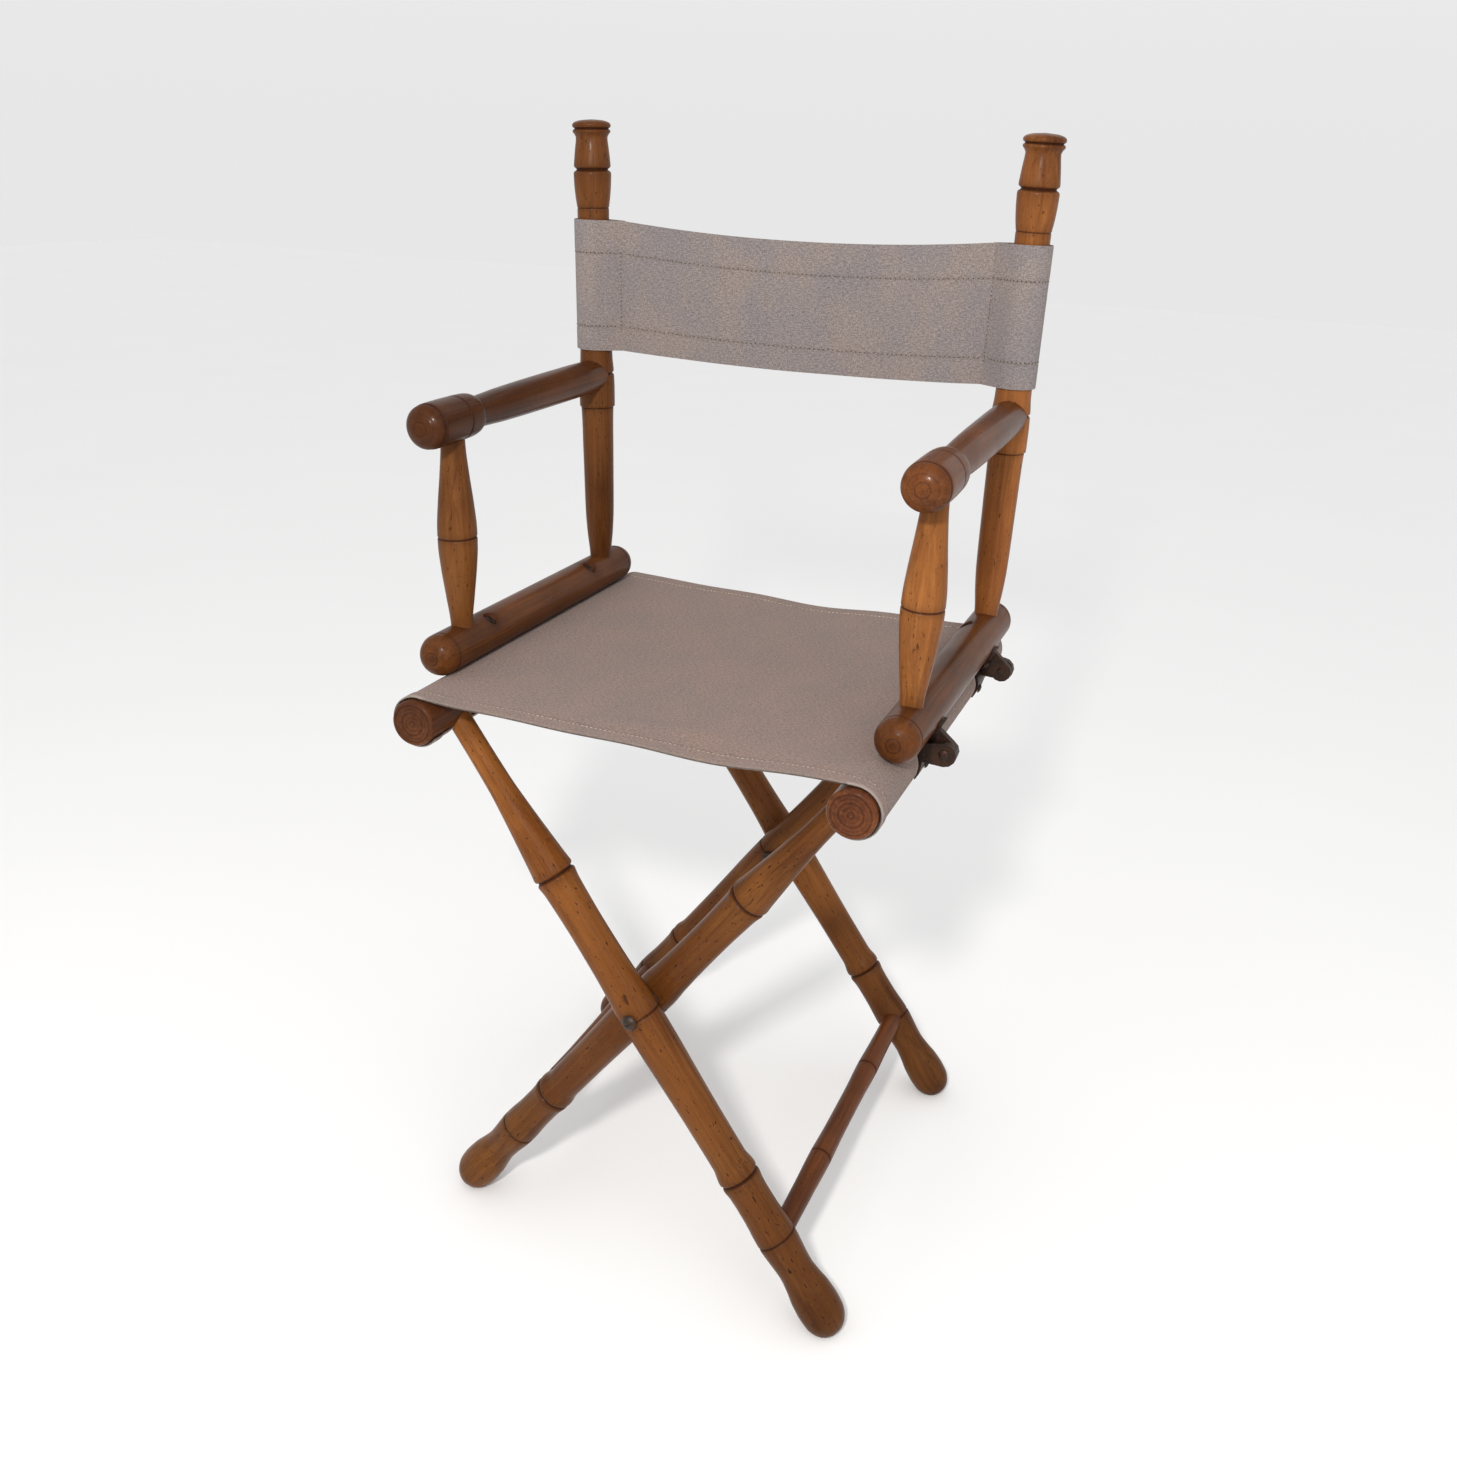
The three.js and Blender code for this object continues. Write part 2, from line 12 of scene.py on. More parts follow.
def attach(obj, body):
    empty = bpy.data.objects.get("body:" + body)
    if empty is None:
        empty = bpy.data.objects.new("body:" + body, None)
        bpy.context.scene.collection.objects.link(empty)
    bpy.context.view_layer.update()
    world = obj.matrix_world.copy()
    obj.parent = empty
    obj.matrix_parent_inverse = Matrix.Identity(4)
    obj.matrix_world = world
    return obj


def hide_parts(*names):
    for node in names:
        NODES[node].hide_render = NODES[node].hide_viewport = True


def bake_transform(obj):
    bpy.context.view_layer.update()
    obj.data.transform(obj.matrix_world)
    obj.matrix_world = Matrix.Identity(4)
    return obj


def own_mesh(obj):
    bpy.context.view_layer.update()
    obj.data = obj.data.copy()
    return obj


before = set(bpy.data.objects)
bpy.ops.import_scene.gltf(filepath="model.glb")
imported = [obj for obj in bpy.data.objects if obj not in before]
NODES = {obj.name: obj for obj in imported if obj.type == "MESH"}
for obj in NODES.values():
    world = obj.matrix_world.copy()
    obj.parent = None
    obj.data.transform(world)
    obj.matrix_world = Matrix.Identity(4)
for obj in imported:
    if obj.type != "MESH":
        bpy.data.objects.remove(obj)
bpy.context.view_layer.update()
MM = 0.001

# ---- layout, the same numbers as the part ----
SEAT_X, SEAT_Z, SEAT_R = 168.0, 456.8, 17.6
SEAT_FRONT, SEAT_REAR = -197.0, 190.0
LEG_X = {"outer": (161.5, 157.5), "inner": (164.0, 159.94)}  # at the rail and at the foot
FOOT_Z = 20.0
LEG_Y = {"outer": (-153.0, 176.5), "inner": (-124.0, 147.5)}
LEG_SIDE = {"outer": 1, "inner": -1}  # which side the feet are on
PIVOT_Z = SEAT_Z - (SEAT_Z - FOOT_Z) * 161.5 / 319.0
PIVOT_FLAT, PIVOT_SEAT = 13.4, 16.5
STRETCHER_AT, STRETCHER_OFF = 476.0, 4.0
ARM_X, ARM_Z, ARM_R = 180.5, 490.5, 16.4
ARM_FRONT, ARM_LENGTH = -151.0, 325.0
SPINDLE_Y, FOOT_OF_ARM = -107.5, 507.0
POST_FOOT = np.array([ARM_X, 131.0, FOOT_OF_ARM])
POST_TOP = np.array([190.5, 123.5, 878.6])
ARM_TIP = np.array([186.0, -150.5, 665.5])
ARMREST_ON_POST = 165.0
HINGE_X, HINGE_Z, HINGE_MID, HINGE_Y = 203.5, 467.0, 7.5, 92.6
CLOTH = 1.2
SEAT_CLOTH_FRONT, SEAT_CLOTH_REAR = -191.5, 185.0
BACK_LOW, BACK_HIGH, BACK_STITCH, SLEEVE_R = 695.0, 805.0, 160.0, 15.8
FOLD_ANGLE = 29.0

# ---- details of the visible pieces ----
FLAT_HALF_X, FLAT_HALF_Z, FLAT_FADE = 36.0, 46.0, 6.0  # reach of the legs' pivot flats, and their run-out
FOOT_CHAMFER, FOOT_PRESS = 0.6, 0.4  # the foot's last bit, pressed on to the floor
RECESS_R, HEAD_SUNK = 6.4, 1.6  # bolt recesses in the arm rails, and how deep the heads sit
UNDERSIDE = 40.0  # offset of a cloth's underside in the weave's coordinates
STITCH_LIFT = 0.55  # back stitches above the cloth's middle surface
LEAF_FIX, PIN_HEAD = 7.0, 11.6  # from a hinge's middle to its bolt and screw, and to the head of its pin
BOLT_TILT, SCREW_TILT = -58.0, -15.0  # degrees, from level outwards

SIDES = {"left": -1, "right": 1}
ARM_BODY = {"left": "left_arm", "right": "right_arm"}
FRAME_BODY = {"left": "outer_frame", "right": "inner_frame"}


def unit(v):
    v = np.asarray(v, float)
    return v / np.linalg.norm(v)


def at_side(v, side):
    return np.array([side * v[0], v[1], v[2]])


POST_UP = unit(POST_TOP - POST_FOOT)


def on_post(s):
    return POST_FOOT + POST_UP * s


ARM_JOINT = on_post(ARMREST_ON_POST)
ARM_DIR = unit(ARM_JOINT - ARM_TIP)
SPINDLE_FOOT = np.array([ARM_X, SPINDLE_Y, FOOT_OF_ARM])
_reach = (SPINDLE_Y - ARM_TIP[1]) / (POST_FOOT[1] - ARM_TIP[1])
SPINDLE_UP = unit(ARM_TIP + (ARM_JOINT - ARM_TIP) * _reach - SPINDLE_FOOT)

# ---- profiles: [distance along the axis, radius]; grooves: (distance, depth, half width, strength of the painted shade in it) ----
LEG_PROFILE = [
    (7, 9), (40, 9.2), (68.5, 9.7), (95, 11.4), (125, 14), (142, 15.6), (147, 16.2), (153, 15.9), (158, 15.1),
    (171, 14.5), (197, 14), (229, 14.3), (253.5, 15.2), (268.5, 16.3), (300, 16.1),
    (332.5, 15.3), (371, 14.5),
    (408, 14.3), (420, 16.1), (427.5, 15.9), (433, 15.1), (442, 14.7), (455.5, 14.8),
    (474, 15.8), (480, 15.9), (509, 14),
    (520, 15.2), (531, 17), (542, 17.6), (551, 17), (559, 14), (564, 9), (566, 0),
]
LEG_GROOVES = [(149.8, 2.1, 1.4, 1), (276, 0.9, 0.9, 0.85), (423.6, 2.0, 1.3, 1), (479, 1.1, 0.9, 0.9)]
POST_PROFILE = [
    (-10, 9.4), (0, 9.7), (21, 11.7), (40, 12.8), (94, 13.6), (136, 14.4), (137.4, 15.6),
    (154, 15.7), (164, 15.4), (169, 15.2), (180, 14.3), (241, 13.4),
    (306, 13.6), (317, 14.9), (328.5, 15.8), (336.5, 16), (341.5, 15.7), (353.5, 14.6),
    (365, 13.4), (367.5, 14.6), (369.5, 16), (370.6, 16), (373.4, 16.2), (375, 16.3),
    (377, 14.6), (378.7, 9), (379.4, 0),
]
POST_GROOVES = [
    (136.4, 0.5, 0.6, 0.9), (166.5, 1.5, 1.1, 1), (307.5, 0.5, 0.6, 0.8), (339, 2.6, 1.5, 1),
    (371.9, 1.7, 0.9, 1),
]
SPINDLE_PROFILE = [
    (-9, 8.3), (0, 8.5), (23, 11.1), (47.5, 14), (62, 15.1), (69.5, 15.2),
    (77, 15.1), (94, 13.8), (119, 11.1), (139, 9.4), (148, 9.1),
]
SPINDLE_GROOVES = [(69.5, 0.8, 0.8, 1)]
ARMREST_PROFILE = [
    (0, 0), (0.4, 4.8), (2, 9.7), (4.5, 13.7), (7.5, 16.2), (11, 17.1), (30, 17.3), (57, 16.9),
    (64, 16.2), (68.5, 14.3), (71, 12.2), (74, 12.1), (110, 13.3), (160, 14.1), (228, 14.4), (273, 14),
]
ARMREST_GROOVES = [(10.2, 1.4, 1.0, 1), (46, 0.6, 0.6, 0.8)]
ARM_RAIL_PROFILE = [
    (0, 0), (0.1, 4.6), (0.5, 5.4), (1.3, 8.6), (3.6, 12.2), (6.8, 14.7), (11.6, 16.3), (16, 16.4),
    (310, 16.4),
    (316, 15.2), (321, 12.2), (324, 7.2), (325, 0),
]
ARM_RAIL_GROOVES = [(15.6, 0.5, 0.5, 0.8), (309.5, 0.4, 0.5, 0.7)]
SEAT_LENGTH = SEAT_REAR - SEAT_FRONT
SEAT_RAIL_PROFILE = [
    (0, 0), (0, 15), (0.6, 16.6), (2.2, 17.6), (SEAT_LENGTH - 2.2, 17.6), (SEAT_LENGTH - 0.6, 16.6),
    (SEAT_LENGTH, 15), (SEAT_LENGTH, 0),
]


# ---- turned pieces ----
def pchip(x, y, at):
    """Monotone cubic through the points, so that a profile has no ripples between them."""
    x, y = np.asarray(x, float), np.asarray(y, float)
    h, d = np.diff(x), np.diff(y) / np.diff(x)
    m = np.zeros(len(x))
    for i in range(1, len(x) - 1):
        if d[i - 1] * d[i] > 0:
            w1, w2 = 2 * h[i] + h[i - 1], h[i] + 2 * h[i - 1]
            m[i] = (w1 + w2) / (w1 / d[i - 1] + w2 / d[i])
    m[0], m[-1] = d[0], d[-1]
    k = np.clip(np.searchsorted(x, at, side="right") - 1, 0, len(h) - 1)
    t = (at - x[k]) / h[k]
    h00, h10 = 2 * t**3 - 3 * t**2 + 1, t**3 - 2 * t**2 + t
    return h00 * y[k] + h10 * h[k] * m[k] + (1 - h00) * y[k + 1] + (t**3 - t**2) * h[k] * m[k + 1]


def bell(x, middle, width):
    return np.exp(-(((x - middle) / width) ** 2))


GROOVE_STEPS = np.array([-2.2, -1.5, -1, -0.6, -0.25, 0, 0.25, 0.6, 1, 1.5, 2.2])  # in half widths


def profile_line(points, grooves, faces, step):
    """Closely spaced (s, r) along a profile, with its grooves and the rings on its end faces cut in.

    A face ring is (where the end is, radius, depth, half width, strength of the painted shade in it).
    """
    p = np.array(points, float)
    length = np.r_[0, np.cumsum(np.maximum(np.hypot(*np.diff(p, axis=0).T), 0.05))]
    at = set(np.round(np.arange(0, length[-1], step), 3)) | set(np.round(length, 3))
    for g in grooves:
        middle = np.interp(g[0], p[:, 0], length)
        at |= set(np.round(middle + g[2] * GROOVE_STEPS, 3))
    for end, radius, _, width, _ in faces:
        flat = np.abs(p[:, 0] - end) < 3
        order = np.argsort(p[flat, 1])
        middle = np.interp(radius, p[flat, 1][order], length[flat][order])
        at |= set(np.round(middle + width * np.array([-1.6, -0.8, 0, 0.8, 1.6]), 3))
    at = np.array(sorted(t for t in at if 0 <= t <= length[-1]))
    at = at[np.r_[True, np.diff(at) > 0.06]]
    s, r = pchip(length, p[:, 0], at), np.maximum(pchip(length, p[:, 1], at), 0)
    for middle, depth, width, _ in grooves:
        r = np.maximum(r - depth * bell(s, middle, width), 0.02)
    for end, radius, depth, width, _ in faces:
        inward = 1 if end < 50 else -1
        s = s + inward * depth * bell(r, radius, width) * (np.abs(s - end) < 2.4)
    return s, r


def new_mesh(name, points, faces, smooth=True):
    mesh = bpy.data.meshes.new(name)
    mesh.from_pydata([tuple(p) for p in np.asarray(points) * MM], [], faces)
    mesh.validate()
    mesh.polygons.foreach_set("use_smooth", [smooth] * len(mesh.polygons))
    mesh.update()
    thing = bpy.data.objects.new(name, mesh)
    bpy.context.scene.collection.objects.link(thing)
    return thing


def basis(direction):
    """Two unit vectors across a direction."""
    d = unit(direction)
    a = unit(np.cross(d, [0, 0, 1] if abs(d[2]) < 0.9 else [0, 1, 0]))
    return a, np.cross(d, a)


def revolve(name, s, r, origin, direction, segments):
    """A closed solid of revolution, with a point where the line meets the axis."""
    d = unit(direction)
    a, b = basis(d)
    origin = np.asarray(origin, float)
    angle = 2 * np.pi * np.arange(segments) / segments
    around = np.outer(np.cos(angle), a) + np.outer(np.sin(angle), b)
    inside = r > 0.03
    first, last = np.argmax(inside), len(r) - 1 - np.argmax(inside[::-1])
    rings = [origin + d * s[i] + around * r[i] for i in range(first, last + 1)]
    points = list(np.concatenate(rings))
    n, faces = len(rings), []
    for i in range(n - 1):
        for j in range(segments):
            k = (j + 1) % segments
            faces.append((i * segments + j, i * segments + k, (i + 1) * segments + k, (i + 1) * segments + j))
    low, high = len(points), len(points) + 1
    points += [origin + d * s[max(first - 1, 0)], origin + d * s[min(last + 1, len(s) - 1)]]
    top = (n - 1) * segments
    for j in range(segments):
        k = (j + 1) % segments
        faces.append((low, k, j))
        faces.append((high, top + j, top + k))
    return new_mesh(name, points, faces)


def coordinates(thing):
    co = np.empty(len(thing.data.vertices) * 3)
    thing.data.vertices.foreach_get("co", co)
    return co.reshape(-1, 3) / MM


def set_coordinates(thing, co):
    thing.data.vertices.foreach_set("co", (np.asarray(co) * MM).ravel())
    thing.data.update()


def set_attribute(thing, name, values):
    values = np.asarray(values, np.float32)
    kind = "FLOAT_VECTOR" if values.ndim == 2 else "FLOAT"
    attribute = thing.data.attributes.new(name, kind, "POINT")
    attribute.data.foreach_set("vector" if values.ndim == 2 else "value", values.ravel())


wood_count = 0


def mark_wood(thing, origin, direction, grooves, faces, painted_shade_spots, tone, length):
    """Grain coordinates along the piece; the dark mark, which is painted shade in each groove and ring and at
    the shade spots in joints and recesses; and the tone factor, which is painted light and shade over the
    whole piece and changes along it.
    """
    global wood_count
    wood_count += 1
    co = coordinates(thing)
    d = unit(direction)
    a, b = basis(d)
    rel = co - np.asarray(origin, float)
    s, x, y = rel @ d, rel @ a, rel @ b
    r = np.hypot(x, y)
    # dark is painted shade: strong in each groove with a faint wider band round it, in the end-face rings, and
    # at the spots in joints and recesses.
    dark = np.zeros(len(co))
    for middle, _, width, strength in grooves:
        dark = np.maximum(dark, strength * bell(s, middle, 1.25 * width))
        dark = np.maximum(dark, 0.28 * strength * bell(s, middle, 5 * width))
    for end, radius, _, width, strength in faces:
        dark = np.maximum(dark, strength * bell(r, radius, width) * (np.abs(s - end) < 2.6))
    # Painted shade spots at joints, in bolt recesses and at the feet.
    for point, size, strength in painted_shade_spots:
        far = np.linalg.norm(co - np.asarray(point, float), axis=1)
        dark = np.maximum(dark, strength * np.exp(-((far / size) ** 2)))
    shift = 37.0 * wood_count
    turn = 1.3 * wood_count
    u = x * math.cos(turn) - y * math.sin(turn)
    v = x * math.sin(turn) + y * math.cos(turn)
    set_attribute(thing, "wood_at", np.stack([u + 3 * shift, v - 2 * shift, s + 5 * shift], 1) * MM)
    # dark is painted shade; tone is painted light and shade, which makes the whole piece lighter or darker and
    # changes along it.
    set_attribute(thing, "dark", np.clip(dark, 0, 1))
    set_attribute(thing, "tone", tone[0] + (tone[1] - tone[0]) * np.clip(s / length, 0, 1))


def finish_piece(thing, body, nodes, material):
    thing.data.materials.append(material)
    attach(thing, body)
    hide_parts(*nodes)
    return thing


def turned(node, profile, grooves, origin, direction, body, material, segments=48, step=2.4,
           faces=(), painted_shade_spots=(), shape=None, cutters=(), tone=(1, 1)):
    s, r = profile_line(profile, grooves, faces, step)
    thing = revolve("turned_" + node, s, r, origin, direction, segments)
    if shape:
        set_coordinates(thing, shape(coordinates(thing)))
    for cutter in cutters:
        carve(thing, cutter)
    mark_wood(thing, origin, direction, grooves, faces, painted_shade_spots, tone, profile[-1][0])
    return finish_piece(thing, body, [node], material)


def carve(thing, cutter):
    """Cuts one shape out of another and deletes the cutter."""
    cut = thing.modifiers.new("cut", "BOOLEAN")
    cut.object, cut.operation, cut.solver = cutter, "DIFFERENCE", "EXACT"
    done = bpy.data.meshes.new_from_object(thing.evaluated_get(bpy.context.evaluated_depsgraph_get()))
    thing.modifiers.clear()
    thing.data = done
    thing.data.polygons.foreach_set("use_smooth", [True] * len(done.polygons))
    bpy.data.objects.remove(cutter)


def plug(name, start, end, radius, segments=32):
    """A plain round bar between two points, used as a cutter."""
    start, end = np.asarray(start, float), np.asarray(end, float)
    length = np.linalg.norm(end - start)
    return revolve(name, np.array([0, 0, length, length]), np.array([0, radius, radius, 0]),
                   start, end - start, segments)


# ---- materials ----
class Nodes:
    """A short way to write a node tree."""

    def __init__(self, name):
        self.material = bpy.data.materials.new(name)
        self.material.use_nodes = True
        self.tree = self.material.node_tree
        self.shader = self.tree.nodes["Principled BSDF"]

    def add(self, kind, inputs=(), **settings):
        node = self.tree.nodes.new(kind)
        for key, value in settings.items():
            setattr(node, key, value)
        for socket, value in dict(inputs).items():
            self.put(node.inputs[socket], value)
        return node

    def put(self, socket, value):
        if isinstance(value, bpy.types.NodeSocket):
            self.tree.links.new(value, socket)
        else:
            socket.default_value = value

    def attribute(self, name, output="Vector"):
        return self.add("ShaderNodeAttribute", attribute_name=name).outputs[output]

    def scaled(self, vector, scale):
        return self.add("ShaderNodeMapping", {"Vector": vector, "Scale": scale}).outputs["Vector"]

    def noise(self, vector, scale, detail, roughness, distortion=0.0):
        """Noise with its own scale along each axis."""
        return self.add("ShaderNodeTexNoise", {
            "Vector": self.scaled(vector, scale), "Scale": 1.0, "Detail": detail, "Roughness": roughness,
            "Distortion": distortion,
        }).outputs["Fac"]

    def ramp(self, value, low, high):
        """0 below low, 1 above high."""
        return self.add("ShaderNodeMapRange", {
            "Value": value, "From Min": low, "From Max": high, "To Min": 0.0, "To Max": 1.0,
        }, interpolation_type="SMOOTHSTEP").outputs["Result"]

    def math(self, operation, a, b=0.0):
        return self.add("ShaderNodeMath", {0: a, 1: b}, operation=operation).outputs[0]

    def mul(self, a, b):
        return self.math("MULTIPLY", a, b)

    def plus(self, a, b):
        return self.math("ADD", a, b)

    def mix(self, factor, a, b, blend="MIX"):
        node = self.add("ShaderNodeMix", data_type="RGBA", blend_type=blend)
        for socket, value in (("Factor_Float", factor), ("A_Color", a), ("B_Color", b)):
            self.put(next(i for i in node.inputs if i.identifier == socket), value)
        return next(o for o in node.outputs if o.identifier == "Result_Color")

    def bump(self, height, strength, distance, below=None):
        inputs = {"Height": height, "Strength": strength, "Distance": distance}
        if below is not None:
            inputs["Normal"] = below
        return self.add("ShaderNodeBump", inputs).outputs["Normal"]


def rgb(r, g, b):
    """A display colour from 0 to 255 as linear light."""
    def linear(c):
        c /= 255
        return c / 12.92 if c <= 0.04045 else ((c + 0.055) / 1.055) ** 2.4
    return (linear(r), linear(g), linear(b), 1.0)


def times(colour, k):
    return tuple(min(c * k, 1.0) for c in colour[:3]) + (1.0,)


def wood(name, light, middle, deep, flecks, gloss=0.33, coat=0.05):
    n = Nodes(name)
    at = n.attribute("wood_at")
    warp = n.noise(at, (30, 30, 8), 2, 0.5)
    streaks = n.noise(at, (260, 260, 9), 5, 0.62, 0.6)
    fine = n.noise(at, (900, 900, 24), 4, 0.6)
    clouds = n.noise(at, (17, 17, 8), 3, 0.55)
    rays = n.noise(at, (1500, 1500, 420), 2, 0.5)
    pores = n.noise(at, (620, 620, 190), 2, 0.45)
    knots = n.noise(at, (150, 150, 46), 3, 0.5, 0.4)
    figure = n.plus(n.mul(streaks, 0.45), n.mul(clouds, 0.6))
    tone = n.mix(n.ramp(figure, 0.34, 0.74), deep, light)
    tone = n.mix(n.mul(n.ramp(warp, 0.35, 0.7), 0.55), tone, middle)
    tone = n.mix(n.mul(n.ramp(fine, 0.44, 0.74), 0.22), tone, deep)
    tone = n.mix(n.mul(n.ramp(rays, 0.60, 0.72), 0.3), tone, times(light, 1.25))
    speck = n.mul(n.ramp(pores, 0.66, 0.72), flecks)
    spot = n.mul(n.ramp(knots, 0.70, 0.78), 0.8 * flecks)
    marks = n.math("MAXIMUM", speck, spot)
    tone = n.mix(marks, tone, rgb(34, 17, 9))
    # Painted light and shade: each piece's tone factor scales its colour, then its dark marks paint shade into
    # grooves, rings, joints and recesses.
    tone = n.mix(1.0, tone, n.attribute("tone", "Color"), "MULTIPLY")
    dark = n.attribute("dark", "Fac")
    tone = n.mix(n.mul(dark, 0.92), tone, rgb(40, 15, 8))
    n.put(n.shader.inputs["Base Color"], tone)
    worn = n.noise(at, (60, 60, 30), 4, 0.6)
    rough = n.plus(n.mul(worn, 0.22), gloss - 0.11)
    n.put(n.shader.inputs["Roughness"], n.plus(rough, n.mul(dark, 0.25)))
    n.shader.inputs["Specular IOR Level"].default_value = 0.07
    n.shader.inputs["Coat Weight"].default_value = coat
    n.shader.inputs["Coat Roughness"].default_value = 0.14
    n.shader.inputs["Coat IOR"].default_value = 1.5
    uneven = n.noise(at, (75, 75, 40), 3, 0.5)
    normal = n.bump(uneven, 0.16, 0.0016)
    normal = n.bump(streaks, 0.10, 0.0005, normal)
    normal = n.bump(n.math("SUBTRACT", 1.0, marks), 0.35, 0.0004, normal)
    n.put(n.shader.inputs["Normal"], normal)
    coat_normal = n.bump(n.math("SUBTRACT", uneven, n.mul(marks, 0.3)), 0.12, 0.0012)
    n.put(n.shader.inputs["Coat Normal"], coat_normal)
    return n.material


def linen(name, warm, cool, slub, raised, low=0.6, high=1.4):
    """Plain weave: two sets of uneven threads, thick places along them, and a soft mottling."""
    n = Nodes(name)
    at = n.attribute("cloth_at")
    split = n.add("ShaderNodeSeparateXYZ", {0: at})
    wobble = n.noise(at, (260, 260, 260), 2, 0.5)
    turns = 2 * math.pi / (1.3 * MM)

    def threads(axis, unevenness):
        phase = n.mul(split.outputs[axis], turns)
        return n.math("SINE", n.plus(phase, n.mul(wobble, unevenness)))

    across, along = threads(0, 5.5), threads(1, 4.7)
    weave = n.mul(across, along)
    weft = n.noise(at, (300, 1250, 1), 3, 0.6)
    warp = n.noise(at, (1250, 380, 1), 3, 0.6)
    specks = n.noise(at, (760, 760, 760), 3, 0.65)
    slubs = n.ramp(n.noise(at, (75, 720, 1), 3, 0.6), 0.60, 0.74)
    mottle = n.noise(at, (22, 16, 16), 4, 0.6)
    shade = n.plus(n.mul(weft, 0.45), n.mul(warp, 0.32))
    shade = n.plus(shade, n.mul(specks, 0.4))
    shade = n.plus(shade, n.mul(weave, 0.07))
    tone = n.mix(n.ramp(mottle, 0.32, 0.68), cool, warm)
    contrast = n.mix(n.ramp(shade, 0.47, 0.70), (low, low, low, 1), (high, high, high, 1))
    tone = n.mix(1.0, tone, contrast, "MULTIPLY")
    tone = n.mix(n.mul(slubs, 0.45 * slub), tone, times(warm, 0.42))
    # Pale edges, partly paler frayed fibres and partly painted highlight; then painted shade in creases, along
    # hems and in needle holes.
    tone = n.mix(n.attribute("fray_and_highlight", "Fac"), tone, rgb(184, 170, 158))
    tone = n.mix(n.mul(n.attribute("dark", "Fac"), 0.85), tone, rgb(44, 33, 27))
    n.put(n.shader.inputs["Base Color"], tone)
    n.shader.inputs["Roughness"].default_value = 0.92
    n.shader.inputs["Specular IOR Level"].default_value = 0.2
    n.shader.inputs["Sheen Weight"].default_value = 0.08
    n.shader.inputs["Sheen Roughness"].default_value = 0.5
    height = n.plus(n.mul(shade, 2.2), n.mul(weave, 0.2))
    height = n.plus(height, n.mul(slubs, 0.5 * slub))
    n.put(n.shader.inputs["Normal"], n.bump(height, raised, 0.0008))
    return n.material


def metal(name, base, worn, rust, rough):
    n = Nodes(name)
    at = n.add("ShaderNodeTexCoord").outputs["Object"]
    cast = n.noise(at, (420, 420, 420), 4, 0.6)
    broad = n.noise(at, (90, 90, 90), 3, 0.6)
    tone = n.mix(n.ramp(broad, 0.4, 0.7), base, rust)
    tone = n.mix(n.mul(n.ramp(cast, 0.56, 0.74), 0.5), tone, worn)
    n.put(n.shader.inputs["Base Color"], tone)
    n.shader.inputs["Metallic"].default_value = 0.75
    n.put(n.shader.inputs["Roughness"], n.plus(n.mul(cast, 0.3), rough))
    n.put(n.shader.inputs["Normal"], n.bump(n.plus(cast, broad), 0.5, 0.0006))
    return n.material


LEG_WOOD = wood("leg_wood", rgb(146, 92, 44), rgb(118, 68, 29), rgb(82, 44, 18), 0.9)
SPINDLE_WOOD = wood("spindle_wood", rgb(164, 106, 56), rgb(140, 84, 40), rgb(98, 54, 24), 0.7)
POST_WOOD = wood("post_wood", rgb(144, 90, 46), rgb(120, 70, 33), rgb(84, 45, 20), 0.7)
STRETCHER_WOOD = wood("stretcher_wood", rgb(114, 64, 29), rgb(95, 50, 22), rgb(66, 33, 15), 0.6)
SEAT_RAIL_WOOD = wood("seat_rail_wood", rgb(118, 70, 40), rgb(90, 49, 28), rgb(56, 29, 16), 0.5)
ARM_RAIL_WOOD = wood("arm_rail_wood", rgb(104, 60, 28), rgb(82, 46, 21), rgb(56, 30, 14), 0.5)
ARMREST_WOOD = wood("armrest_wood", rgb(108, 62, 30), rgb(88, 48, 22), rgb(58, 31, 15), 0.6, 0.3, 0.08)
SEAT_LINEN = linen("seat_linen", rgb(133, 112, 103), rgb(126, 109, 102), 0.2, 0.5, 0.66, 1.32)
BACK_LINEN = linen("back_linen", rgb(136, 124, 119), rgb(126, 119, 119), 0.9, 0.55, 0.66, 1.32)
SEAT_THREAD = linen("seat_thread", rgb(180, 164, 144), rgb(166, 150, 130), 0.2, 0.2)
BACK_THREAD = linen("back_thread", rgb(142, 128, 116), rgb(130, 118, 108), 0.2, 0.2)
IRON = metal("hinge_iron", rgb(46, 34, 28), rgb(92, 72, 58), rgb(64, 40, 28), 0.36)
STEEL = metal("pivot_steel", rgb(58, 48, 42), rgb(110, 96, 84), rgb(70, 48, 34), 0.28)


# ---- leg frames ----
def leg_line(label, y):
    side, (top, foot) = LEG_SIDE[label], LEG_X[label]
    start = np.array([-side * top, y, SEAT_Z])
    return start, unit([side * (top + foot), 0, FOOT_Z - SEAT_Z])


def leg_shape(y, mating):
    """Flattens the leg where it meets the other one, and stands its foot on the floor."""
    face = y + mating * PIVOT_FLAT

    def shape(co):
        near = np.clip((FLAT_HALF_X - np.abs(co[:, 0])) / FLAT_FADE, 0, 1)
        near = near * np.clip((FLAT_HALF_Z - np.abs(co[:, 2] - PIVOT_Z)) / FLAT_FADE, 0, 1)
        over = np.maximum((co[:, 1] - face) * mating, 0)
        co[:, 1] -= mating * over * near
        co[:, 2] = np.where(co[:, 2] < FOOT_CHAMFER, np.maximum(co[:, 2], 0.0) * FOOT_PRESS, co[:, 2])
        return co

    return shape


